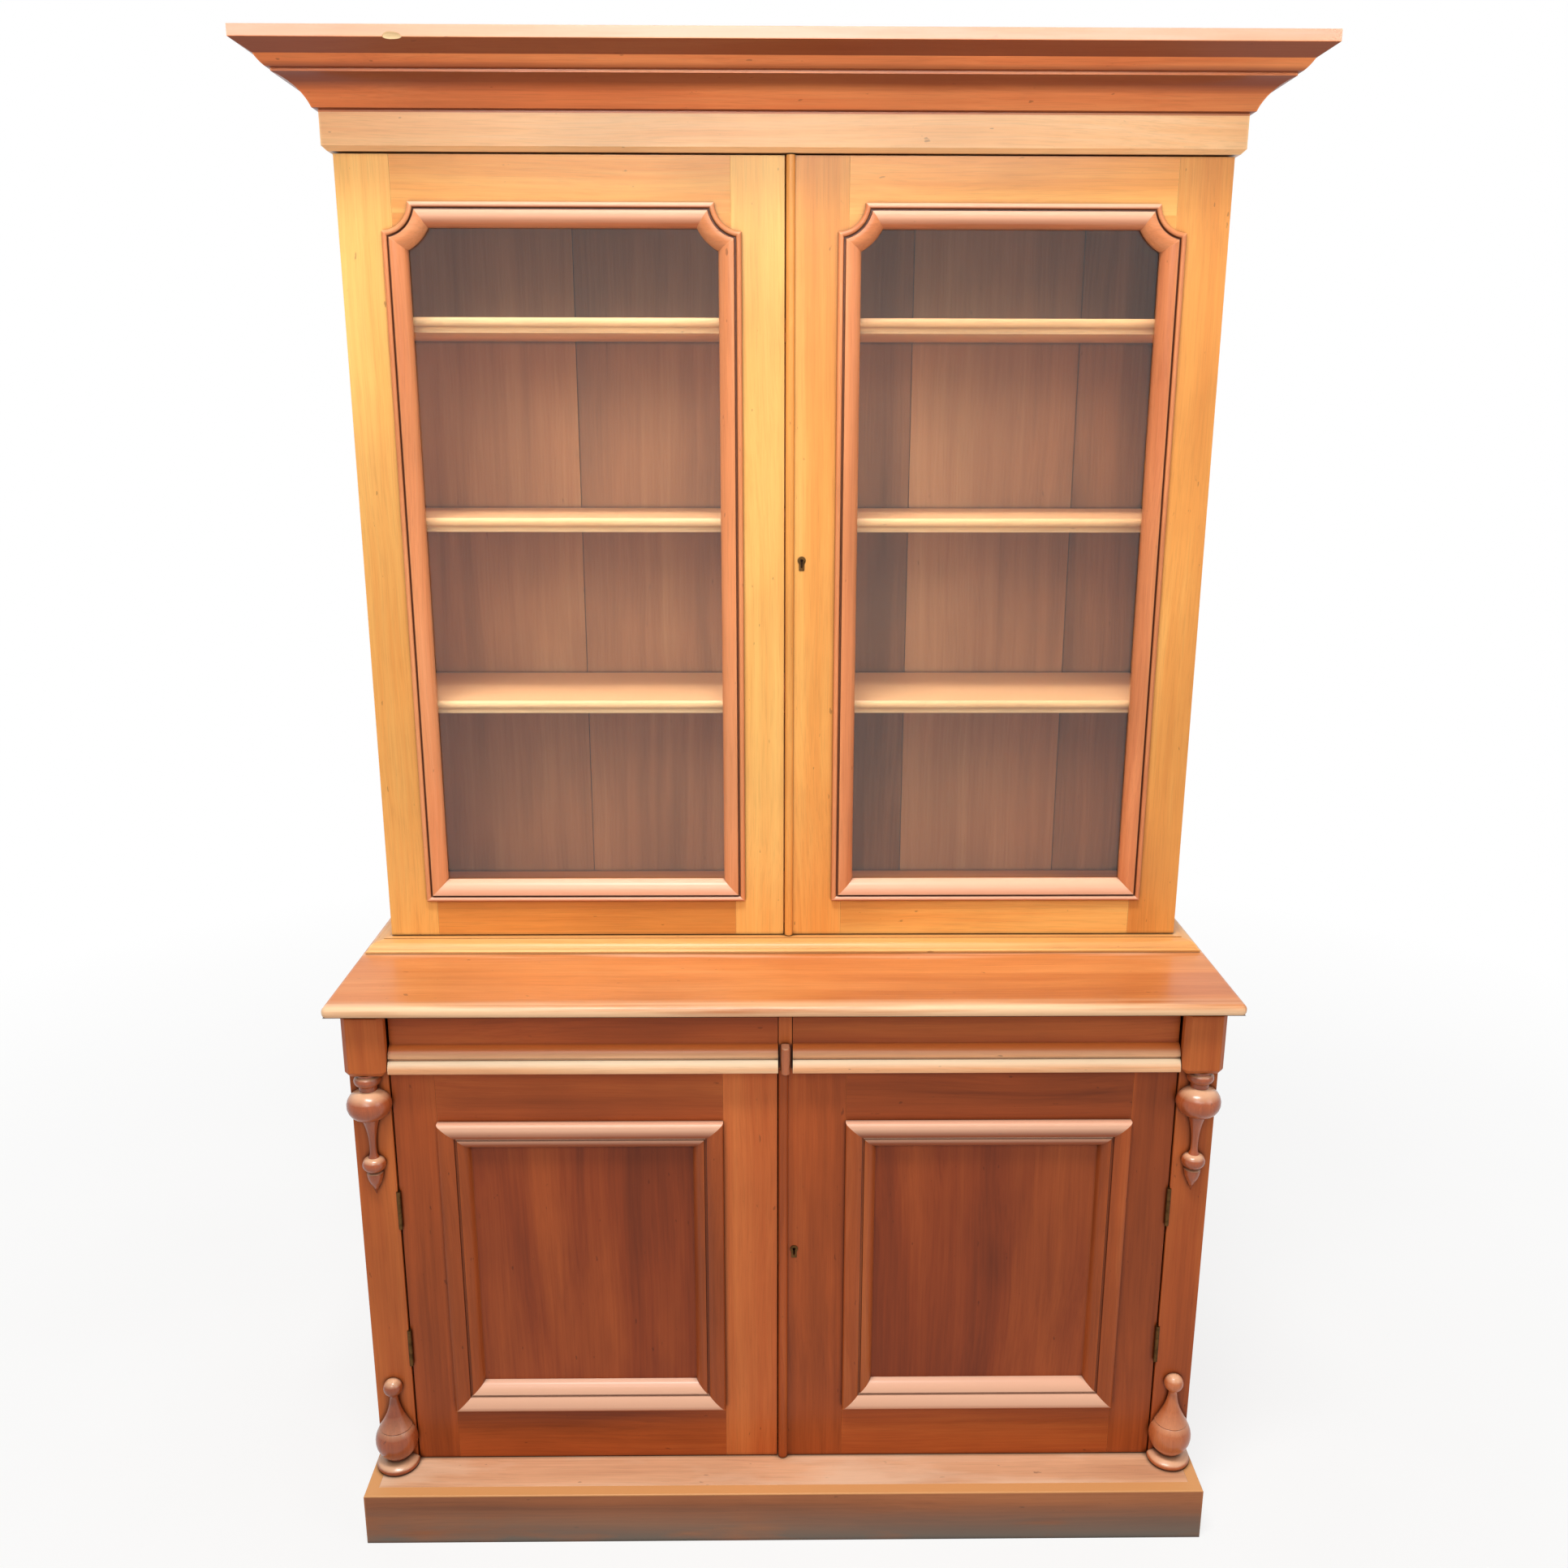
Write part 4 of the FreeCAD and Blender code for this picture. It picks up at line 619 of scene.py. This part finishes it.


# a paler copy of the mahogany for the pulls, with painted highlight where they face up
highlit_pull_wood = polished_wood("pull mahogany", srgb(214, 138, 90), srgb(242, 176, 126), srgb(255, 216, 172),
                          wear_and_highlight=0.9, finish=pull_highlight)
pull_outline = ([(-pull_sunk, 0)] + scaled(PULL_SHARES, pull_high, pull_high)
                + [(-pull_sunk, PULL_SHARES[-1][1] * pull_high)])
for side in ("left", "right"):
    low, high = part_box(side + "_drawer_front")
    front = board(side + "_drawer_plate", (low.x, face, low.z), high, "X")
    front.data.materials.append(red_wood)
    pull = moulding(side + "_drawer_pull", pull_outline, (low.x, face, low.z), (high.x - low.x, 0, 0),
                    (0, -1, 0), (0, 0, 1))
    made_up(side + "_drawer_face", [front, pull], side + "_drawer", [side + "_drawer_front"],
            highlit_pull_wood)

divider_low, divider_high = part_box("drawer_divider")
nose_half = 7 * mm
nose_high = 43 * mm
nose_round = 3 * mm
nose_reach = face - divider_low.y
half_circle = 1
nose_outline = [(0, 0), (nose_reach - nose_half, 0), (nose_reach - nose_half, 2 * nose_half, half_circle),
                (0, 2 * nose_half)]
nose = moulding("divider_nose", nose_outline, (-nose_half, face, divider_low.z), (0, 0, nose_high),
                (0, -1, 0), (1, 0, 0), "Z")
pick_edges(nose, lambda ends: abs(ends[0].z - ends[1].z) < hair
           and not all(end.y > face - hair for end in ends))
bpy.ops.mesh.bevel(offset=nose_round, segments=3)
bpy.ops.object.mode_set(mode="OBJECT")
nose.data.materials.append(turned_wood)
divider = board("divider", (divider_low.x, face, divider_low.z), divider_high, "Z")
made_up("divider_and_nose", [divider, nose], "carcase", ["drawer_divider"], red_wood,
        smooth=40)


# Lower doors
# A pair of framed doors: a flat panel of darkly figured veneer sits in a heavy two-step moulding,
# planted round the frame's opening with mitred corners. A bead on the right door covers the joint.

flame_wood = polished_wood("flame mahogany", srgb(84, 32, 12), srgb(140, 60, 25), srgb(178, 88, 40),
                           bands=(1.2, 22, 22), figure=(1.2, 6, 6), contrast=1.1, shine=0.2, coat=0.06)
orange_wood = polished_wood("orange mahogany", srgb(150, 68, 26), srgb(194, 96, 44), srgb(218, 124, 64),
                            shine=0.2, coat=0.06)
# the panel moulding takes the painted crease shade at full strength
step_wood = polished_wood("panel moulding mahogany", srgb(122, 54, 20), srgb(170, 82, 36), srgb(204, 116, 62),
                          shine=0.2, coat=0.06, crease_shade=1.0)
# a paler copy of the panel moulding wood, with painted highlight where its faces look up
highlit_step_wood = polished_wood("highlit panel moulding", srgb(130, 64, 34), srgb(172, 92, 56),
                               srgb(204, 128, 86), finish=upward_highlight(srgb(240, 186, 154), -0.45, 0.05, 0.9))
PANEL_MOULDING_SHARES = [(0.17, 0), (0.29, 0.1, 0.4), (0.18, 0.53, 0.2), (0.12, 0.54), (0.12, 0.6),
                         (0.16, 0.62), (-0.06, 0.95, 0.25)]


joint_edge = 0.4 * mm


def framed(name, low, high, inner_low, inner_high):
    """Two stiles and two rails round an opening."""
    return [board("%s_%s" % (name, part), start, end, along, joint_edge) for part, start, end, along in (
        ("left_stile", low, (inner_low.x, high.y, high.z), "Z"),
        ("right_stile", (inner_high.x, low.y, low.z), high, "Z"),
        ("foot_rail", (inner_low.x, low.y, low.z), (inner_high.x, high.y, inner_low.z), "X"),
        ("head_rail", (inner_low.x, low.y, inner_high.z), (inner_high.x, high.y, high.z), "X"))]


def planted(name, outline, low, high, face):
    """Four lengths of moulding round an opening, mitred at its corners."""
    wide, tall = high.x - low.x, high.z - low.z
    lengths = []
    for side, corner, way, inwards, long in (("foot", (low.x, low.z), (1, 0), (0, 1), wide),
                                             ("head", (low.x, high.z), (1, 0), (0, -1), wide),
                                             ("left", (low.x, low.z), (0, 1), (1, 0), tall),
                                             ("right", (high.x, low.z), (0, 1), (-1, 0), tall)):
        start = Vector((corner[0], face, corner[1]))
        run = Vector((way[0], 0, way[1])) * long
        up = Vector((inwards[0], 0, inwards[1]))
        lengths.append(moulding("%s_%s" % (name, side), outline, start, run, (0, -1, 0), up,
                                "X" if way[0] else "Z", [(start, up - run.normalized()),
                                                         (start + run, up + run.normalized())]))
    return lengths


keyhole_inset = 24.5 * mm
keyhole_radius = 2.4 * mm
slot_half = 1.3 * mm
slot_long = 11 * mm
keyhole_deep = 26 * mm
keyhole_sides = 24


def keyhole(boards, lock, face):
    """A round hole over a slot, from the face through to the lock."""
    low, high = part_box(lock)
    x, z = low.x + keyhole_inset, (low.z + high.z) / 2
    deselect()
    bpy.ops.mesh.primitive_cylinder_add(vertices=keyhole_sides, radius=keyhole_radius, depth=keyhole_deep,
                                        location=(x, face, z), rotation=(pi / 2, 0, 0))
    carve(boards, bpy.context.object)
    carve(boards, block("slot", (x - slot_half, face - keyhole_deep / 2, z - slot_long),
                        (x + slot_half, face + keyhole_deep / 2, z), "Z"))


mortise_deep = 10 * mm
mortise_clear = Vector((1 * mm,) * 3)


def mortise(boards, bolt, start, end):
    """The way that a lock's bolt is thrown along, cut through a meeting stile from start to end."""
    low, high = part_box(bolt)
    carve(boards, block("mortise", Vector((start, low.y, low.z)) - mortise_clear,
                        Vector((end, high.y, high.z)) + mortise_clear, "Z"))


def let_in_fittings(boards, stage, side, low, high):
    """Let a door's hinges and bolts into its boards. The right door has the lock and its keyhole, and
    the left door the flush bolt and the mortise that the lock's bolt enters."""
    let_in(boards, "%s_%s_door_brassware" % (stage, side), "carcase_hinge_leaves", "hinge_pins")
    lock = stage + "_lock"
    bolt = lock + "_bolt"
    if side == "right":
        let_in(boards, lock)
        mortise(boards, bolt, low.x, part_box(bolt)[1].x)
        keyhole(boards, lock, low.y)
    else:
        let_in(boards, stage + "_left_flush_bolt")
        mortise(boards, bolt, high.x - mortise_deep, high.x)


moulding_wide = 47 * mm
setback = 8 * mm
step_outline = ([(-setback, 0)] + scaled(PANEL_MOULDING_SHARES, moulding_wide, moulding_wide)
                + [(-setback, moulding_wide)])
for side in ("left", "right"):
    door = "lower_%s_door" % side
    low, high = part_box(door + "_frame")
    in_low, in_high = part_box(door + "_moulding")
    boards = framed(door, low, high, in_low, in_high)
    let_in_fittings(boards, "lower", side, low, high)
    if side == "left":
        boards[1].data.materials.append(orange_wood)
    made_up(door + "_boards", boards, door, [door + "_frame"], red_wood)
    lengths = planted(door + "_mould", step_outline, in_low, in_high, low.y)
    # the head and foot lengths take the paler copy with painted highlight
    for level in lengths[:2]:
        level.data.materials.append(highlit_step_wood)
    made_up(door + "_steps", lengths, door, [door + "_moulding"], step_wood)
    panel = [board(door + "_flat_panel", *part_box(door + "_panel"), "Z")]
    made_up(door + "_flat_panel", panel, door, [door + "_panel"], flame_wood)


def bead(name, node_name, body, material):
    """A half-round bead down a door's meeting stile."""
    low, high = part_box(node_name)
    wide = high.x - low.x
    outline = [(0, 0), (0, wide, 2 * (high.y - low.y) / wide)]
    strip = moulding(name, outline, (low.x, high.y, low.z), (0, 0, high.z - low.z), (0, -1, 0), (1, 0, 0),
                     "Z")
    made_up(name, [strip], body, [node_name], material)


bead("lower_bead", "lower_cock_bead", "lower_right_door", red_wood)


# Upper carcase
# Golden mahogany ends with a moulding round the foot, and a plain frieze above the doors.

golden_wood = polished_wood("golden mahogany", srgb(206, 120, 50), srgb(232, 156, 76), srgb(246, 190, 106))
# a paler copy of the golden mahogany for the frieze: painted light that makes up for the cornice's shade
frieze_wood = polished_wood("pale golden mahogany", srgb(224, 144, 88), srgb(248, 188, 128),
                            srgb(255, 218, 166))
ends = pair_of_boards("upper_end", "upper_sides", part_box("upper_bottom_board")[1].x)
let_in(ends, "carcase_hinge_leaves", "hinge_pins")
made_up("upper_ends", ends, "carcase", ["upper_sides"], golden_wood)
back_of_boards("upper_back", "upper_back_boards")

upper_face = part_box("upper_left_door_frame")[0].y
side_low, side_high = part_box("upper_sides")


def round_the_front(name, outline, low, high):
    """A moulding round the upper carcase, and the rail behind it that crosses the ends' fronts."""
    lengths = wrapped(name, outline, side_high.x, upper_face, high.y, low.z)
    lengths.append(board(name + "_rail", (side_low.x, upper_face, low.z), (side_high.x, side_low.y, high.z)))
    return lengths


waist_low, waist_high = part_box("waist_moulding")
WAIST_SHARES = [(0, 0), (1, 0), (1, 0.2), (0.9, 0.32), (0.66, 0.82, 0.25), (0.3, 0.92), (0.3, 1), (0, 1)]
waist_wood = polished_wood("waist mahogany", srgb(210, 126, 64), srgb(232, 166, 94), srgb(244, 200, 136))
waist_outline = scaled(WAIST_SHARES, upper_face - waist_low.y, waist_high.z - waist_low.z)
waist = round_the_front("waist", waist_outline, waist_low, waist_high)
made_up("waist", waist, "carcase", ["waist_moulding"], waist_wood)

frieze_low, frieze_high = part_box("frieze_boards")
cornice_low, cornice_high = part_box("cornice")
proud = frieze_high.x - side_high.x
foot_cut = 6 * mm
frieze_tall = cornice_low.z - frieze_low.z
frieze_outline = [(0, 0), (proud - foot_cut, 0), (proud, foot_cut), (proud, frieze_tall), (0, frieze_tall)]
frieze = round_the_front("frieze", frieze_outline, frieze_low, frieze_high)
made_up("frieze", frieze, "carcase", ["frieze_boards"], frieze_wood)


# Cornice
# A deep mitred cornice of darker mahogany. A cove, a small ovolo and a plain slope rise to a square
# top edge, once chipped, that carries a painted highlight; painted shade darkens the faces that look
# down. A thin dust board lies in a rebate on top.

CORNICE_SHARES = [(0, 0), (0.0, 0.035), (0.08, 0.05), (0.535, 0.465, -0.23), (0.535, 0.505), (0.6, 0.52),
                  (0.73, 0.67, 0.1), (1, 0.83), (1, 1)]
reach = cornice_high.x - frieze_high.x
tall = cornice_high.z - cornice_low.z
top_edge_foot = cornice_low.z + CORNICE_SHARES[-2][1] * tall
highlight_soft = 1.5 * mm


def cornice_highlight_and_shade(tree, colour):
    """Painted highlight, in patches, on the top edge, and painted shade where the cornice faces down."""
    # painted shade on the faces that look down
    colour = blend_colours(tree, looking_up(tree, -0.66, -0.82, 0.8), colour, srgb(112, 50, 32))
    # painted highlight on the top edge, in patches
    edge = fade(tree, "Z", top_edge_foot + highlight_soft, top_edge_foot)
    highlight_strength = sums(tree, "ADD", patches(tree, 0.25, (3, 40, 40), 0.2), 0.6)
    return blend_colours(tree, sums(tree, "MULTIPLY", edge, highlight_strength), colour, srgb(226, 178, 154))


cornice_wood = polished_wood("cornice mahogany", srgb(172, 80, 36), srgb(222, 120, 62), srgb(246, 156, 92),
                             finish=cornice_highlight_and_shade)
raw_wood = polished_wood("raw broken wood", srgb(226, 176, 120), srgb(246, 206, 150), srgb(254, 226, 180),
                         wear_and_highlight=0.0)
dust_low, dust_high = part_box("cornice_dust_board")
rebate_play = 0.5 * mm
rebate = dust_high.x - side_high.x + rebate_play
ledge_up = dust_low.z - cornice_low.z
cornice_outline = ([(0, 0)] + [(proud + point[0], point[1]) + tuple(point[2:])
                               for point in scaled(CORNICE_SHARES, reach, tall)]
                   + [(rebate, tall), (rebate, ledge_up), (0, ledge_up)])
cornice = wrapped("cornice", cornice_outline, side_high.x, upper_face, cornice_high.y, cornice_low.z)
deselect()
chip_x = -511 * mm
chip_size = (13 * mm, 3 * mm, 8 * mm)
chip_tilt = (0.3, 0.1, 0)
bpy.ops.mesh.primitive_ico_sphere_add(subdivisions=2, radius=1,
                                      location=(chip_x, cornice_low.y, top_edge_foot),
                                      scale=chip_size, rotation=chip_tilt)
chip = bpy.context.object
chip.data.materials.append(raw_wood)
cornice[0].data.materials.append(cornice_wood)
carve(cornice[:1], chip)
made_up("cornice_lengths", cornice, "carcase", ["cornice"], cornice_wood)


# Shelves
# Three loose shelves of paler wood, moulded along the front.

# painted highlight: the shelf is paler where its faces look up
shelf_board_wood = polished_wood("pale shelf", srgb(214, 146, 92), srgb(240, 180, 124), srgb(252, 206, 154),
                                 gloss=0.45, coat=0.0, finish=upward_highlight(srgb(222, 160, 112), 0.6, 0.95, 0.7))
SHELF_EDGE_SHARES = [(-0.42, 0), (-0.3, 0.36, -0.3), (-0.1, 0.42), (-0.06, 1, 0.5)]
edge_bulge_share = 0.02
for name in ("bottom_shelf", "middle_shelf", "top_shelf"):
    low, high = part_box(name)
    thick = high.z - low.z
    front = low.y + edge_bulge_share * thick
    outline = ([(front - high.y, 0)] + scaled(SHELF_EDGE_SHARES, thick, thick) + [(front - high.y, thick)])
    shelf = moulding(name + "_board", outline, (low.x, front, low.z), (high.x - low.x, 0, 0), (0, -1, 0),
                     (0, 0, 1))
    made_up(name + "_board", [shelf], "carcase", [name], shelf_board_wood)


# Upper doors
# Glazed doors. A wide moulding with a bead on its outer edge laps the frame and holds the glass;
# it is mitred at the foot and turns in round scoops at the top corners.

glazing_wood = polished_wood("glazing mahogany", srgb(186, 100, 56), srgb(224, 140, 88), srgb(242, 172, 122))
# a paler copy of the glazing wood, with painted highlight by the tilt of its faces
highlit_glazing_wood = polished_wood("highlit glazing mahogany", srgb(170, 88, 50), srgb(206, 120, 78),
                                  srgb(228, 152, 106), finish=upward_highlight(srgb(238, 180, 146), -0.7, -0.2, 0.95))
GLAZING_SHARES = [(0.13, 0), (0.13, 0.24, 0.9), (0.08, 0.25), (0.08, 0.29), (0.25, 0.33), (-0.12, 1, 0.37)]
glazing_wide = 33 * mm
lap = 15 * mm
lip = 10 * mm
scoop_radius = 38 * mm
scoop_steps = 12
pane_edge = 0.3 * mm
glazing_outline = ([(0, 0)] + scaled(GLAZING_SHARES, glazing_wide, glazing_wide)
                   + [(-lip, glazing_wide), (-lip, lap), (0, lap)])


def shaped_length(name, places, along):
    """A length of the glazing moulding led through places, each of which puts an (out, up) point
    of the outline where it belongs: the joint between a scoop and a straight length is a curve."""
    piece = draw(name, [Vector((0, out, up)) for out, up in curve(glazing_outline)])
    bpy.ops.mesh.edge_face_add()
    for step in range(len(places) - 1):
        bpy.ops.mesh.extrude_region_move(TRANSFORM_OT_translate={"value": (1, 0, 0)})
    bpy.ops.object.mode_set(mode="OBJECT")
    for vertex in piece.data.vertices:
        vertex.co = places[round(vertex.co.x)](vertex.co.y, vertex.co.z)
    bpy.ops.object.mode_set(mode="EDIT")
    normals_outwards()
    piece["along"] = along
    return piece


def scoop_start(up):
    """How far from its corner a straight length meets the scoop, at a distance in from its edge."""
    return sqrt(scoop_radius ** 2 + 2 * scoop_radius * up)


def scoop_turn(corner_x, corner_z, way, face, share):
    """One place along a scooped corner, from the head at 0 to the upright at 1."""
    def spot(out, up):
        ring = scoop_radius + up
        start = asin(up / ring)
        angle = start + share * (pi / 2 - 2 * start)
        return Vector((corner_x + way * ring * cos(angle), face - out, corner_z - ring * sin(angle)))
    return spot


def glazing_lengths(door, low, high, face):
    """Head, foot, two uprights and two scoops; the head and foot come first."""
    foot = [lambda out, up: Vector((low.x + up, face - out, low.z + up)),
            lambda out, up: Vector((high.x - up, face - out, low.z + up))]
    head = [lambda out, up: Vector((low.x + scoop_start(up), face - out, high.z - up)),
            lambda out, up: Vector((high.x - scoop_start(up), face - out, high.z - up))]
    left = [foot[0], lambda out, up: Vector((low.x + up, face - out, high.z - scoop_start(up)))]
    right = [foot[1], lambda out, up: Vector((high.x - up, face - out, high.z - scoop_start(up)))]
    shares = [step / scoop_steps for step in range(scoop_steps + 1)]
    scoops = [[scoop_turn(x, high.z, way, face, share) for share in shares]
              for x, way in ((low.x, 1), (high.x, -1))]
    return [shaped_length("%s_%s" % (door, part), places, along) for part, places, along in (
        ("glazing_head", head, "X"), ("glazing_foot", foot, "X"), ("glazing_left", left, "Z"),
        ("glazing_right", right, "Z"), ("scoop_left", scoops[0], "X"), ("scoop_right", scoops[1], "X"))]


def clear_glass():
    """Old window glass, a little smeared."""
    material, tree, shader = new_material("clear glass")
    shader.inputs["Base Color"].default_value = srgb(236, 242, 240)
    shader.inputs["Transmission Weight"].default_value = 1.0
    shader.inputs["IOR"].default_value = 1.45
    smear = noise(tree, in_place(tree), (3, 3, 3), detail=3)
    tree.links.new(between(tree, smear, 0.3, 0.7, 0.0, 0.05), shader.inputs["Roughness"])
    return material


glass_finish = clear_glass()
ear_turn = pi / 2 - 2 * asin(lap / (scoop_radius + lap))
ear_outline = [(lap, lap), (lap, scoop_start(lap)), (scoop_start(lap), lap, -tan(ear_turn / 4))]
for side in ("left", "right"):
    door = "upper_%s_door" % side
    low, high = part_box(door + "_frame")
    out_low, out_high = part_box(door + "_moulding")
    inset = Vector((lap, 0, lap))
    boards = framed(door, low, high, out_low + inset, out_high - inset)
    for way, corner_x in ((1, out_low.x), (-1, out_high.x)):
        # an ear of wood fills the frame's corner behind each scoop
        boards.append(moulding("%s_ear_%d" % (door, way), ear_outline, (corner_x, low.y, out_high.z),
                               (0, lip, 0), (way, 0, 0), (0, 0, -1)))
    let_in_fittings(boards, "upper", side, low, high)
    made_up(door + "_boards", boards, door, [door + "_frame"], golden_wood)
    lengths = glazing_lengths(door, out_low, out_high, low.y)
    # the head and foot lengths take the paler copy with painted highlight
    for level in lengths[:2]:
        level.data.materials.append(highlit_glazing_wood)
    made_up(door + "_glazing", lengths, door, [door + "_moulding"], glazing_wood)
    pane = made_up(door + "_pane", [board(door + "_pane", *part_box(door + "_glass"), "Z", pane_edge)], door,
                   [door + "_glass"], glass_finish)
    # light reaches the shelves as through real glass
    pane.visible_shadow = False
bead("upper_bead", "upper_cock_bead", "upper_right_door", golden_wood)


# Fittings and hidden pieces
# Brass hinges, locks and bolt cases, steel bolts, and the plain boards inside the carcases.

def metal(name, colour, rough):
    """Old metal with darker tarnish in patches."""
    material, tree, shader = new_material(name)
    shader.inputs["Metallic"].default_value = 1.0
    tarnish = noise(tree, in_place(tree), (90, 90, 90), detail=5)
    dull = tuple(0.5 * value for value in colour[:3]) + (1,)
    tree.links.new(ramp(tree, tarnish, [(0.38, dull), (0.6, colour)]), shader.inputs["Base Color"])
    tree.links.new(between(tree, tarnish, 0.3, 0.7, rough - 0.08, rough + 0.12), shader.inputs["Roughness"])
    return material


brass = metal("aged brass", srgb(104, 74, 42), 0.42)
steel = metal("dull steel", srgb(150, 148, 144), 0.38)
inner_pine = polished_wood("inner softwood", srgb(164, 118, 80), srgb(204, 154, 110), srgb(222, 180, 136),
                           gloss=0.6, coat=0.0, own_grain=False)
inner_red = polished_wood("inner mahogany", srgb(122, 54, 28), srgb(166, 80, 42), srgb(190, 104, 58),
                          own_grain=False)
inner_gold = polished_wood("inner golden mahogany", srgb(166, 84, 38), srgb(214, 128, 62), srgb(236, 158, 88),
                           own_grain=False)
FINISHES = {
    "brass": brass, "steel": steel, "lining_pine": inner_pine, "shelf_wood": inner_pine,
    "lower_mahogany": inner_red, "upper_mahogany": inner_gold,
}
# every CAD piece that nothing has replaced
for part in frame["record"]["subparts"]:
    piece = frame["nodes"][part["node"]]
    if not piece.hide_render:
        piece.data.materials.clear()
        piece.data.materials.append(FINISHES[part["material_slot"]])


# Studio
# A pale floor, soft light from above and in front, a fainter one from the right, and the camera
# at standing height.

deselect()
floor_wide = 16
bpy.ops.mesh.primitive_plane_add(size=floor_wide, location=(0, 0, 0))
floor = bpy.context.object
floor.name = "studio_floor"
floor_paint, tree, shader = new_material("pale floor")
mottle = noise(tree, in_place(tree), (2, 2, 2))
tree.links.new(ramp(tree, mottle, [(0.3, srgb(226, 222, 216)), (0.7, srgb(236, 233, 228))]),
               shader.inputs["Base Color"])
shader.inputs["Roughness"].default_value = 0.8
floor.data.materials.append(floor_paint)


def straight_to_view(tree):
    """1 for the rays that show the background itself, 0 for the rays that light things."""
    rays = node(tree, "ShaderNodeLightPath").outputs
    seen = sums(tree, "MAXIMUM", rays["Is Camera Ray"], rays["Is Glossy Ray"])
    return sums(tree, "MAXIMUM", seen, rays["Is Transmission Ray"])


# the floor fades to the white of the background away from the bookcase, and keeps its shadow near it
shadow_near, white_from, near_white = 0.8, 3.2, 0.8
away = node(tree, "ShaderNodeVectorMath", {0: in_place(tree)}, operation="LENGTH").outputs["Value"]
white = sums(tree, "MULTIPLY", between(tree, away, shadow_near, white_from, near_white, 1.0),
             straight_to_view(tree))
glow = node(tree, "ShaderNodeEmission", {"Color": (1, 1, 1, 1), "Strength": 1.0})
blend = node(tree, "ShaderNodeMixShader", {"Fac": white})
tree.links.new(shader.outputs[0], blend.inputs[1])
tree.links.new(glow.outputs[0], blend.inputs[2])
tree.links.new(blend.outputs[0], tree.nodes["Material Output"].inputs["Surface"])

world = bpy.data.worlds.new("studio")
bpy.context.scene.world = world
world.use_nodes = True
tree = world.node_tree
sky_level = 0.26
backdrop = tree.nodes["Background"]
backdrop.inputs["Color"].default_value = (1, 1, 1, 1)
tree.links.new(between(tree, straight_to_view(tree), 0, 1, sky_level, 1.0), backdrop.inputs["Strength"])


def soft_light(name, place, aim, wide, deep, power, spread=180):
    """A rectangular light turned to an aim."""
    deselect()
    bpy.ops.object.light_add(type="AREA", location=place)
    lamp = bpy.context.object
    lamp.name = name
    lamp.data.shape = "RECTANGLE"
    lamp.data.size = wide
    lamp.data.size_y = deep
    lamp.data.energy = power
    lamp.data.spread = radians(spread)
    lamp.rotation_euler = (Vector(aim) - Vector(place)).to_track_quat("-Z", "Y").to_euler()


soft_light("overhead", (-0.4, -1.6, 5.0), (0, -0.2, 0.9), 1.8, 0.6, 150)
soft_light("front", (-0.8, -3.2, 3.5), (0, 0, 1.6), 1.8, 1.4, 33)
soft_light("top_front", (0.1, -3.4, 2.85), (0, 0, 2.15), 2.6, 0.5, 6, 60)
soft_light("right", (3.2, -2.4, 2.6), (0, 0, 1.0), 1.8, 1.8, 20)

bpy.ops.object.camera_add()
camera = bpy.context.object
camera.name = "camera"
# fitted to the bookcase's own edges: the focal length in pixels of the picture, angles in radians
picture_wide = 1932
focal_pixels = 1696.8
film_wide = 36
camera.data.sensor_width = film_wide
camera.data.lens = film_wide * focal_pixels / picture_wide
camera.data.clip_end = 50
stands_at = (-0.0245, -2.0897, 1.7188)
yaw, pitch, roll = 0.0116, 0.2597, 0.0019
camera.matrix_world = (Matrix.Translation(stands_at) @ Matrix.Rotation(-yaw, 4, "Z")
                       @ Matrix.Rotation(pi / 2 - pitch, 4, "X") @ Matrix.Rotation(roll, 4, "Z"))
bpy.context.scene.camera = camera
bpy.context.scene.view_settings.view_transform = "Standard"
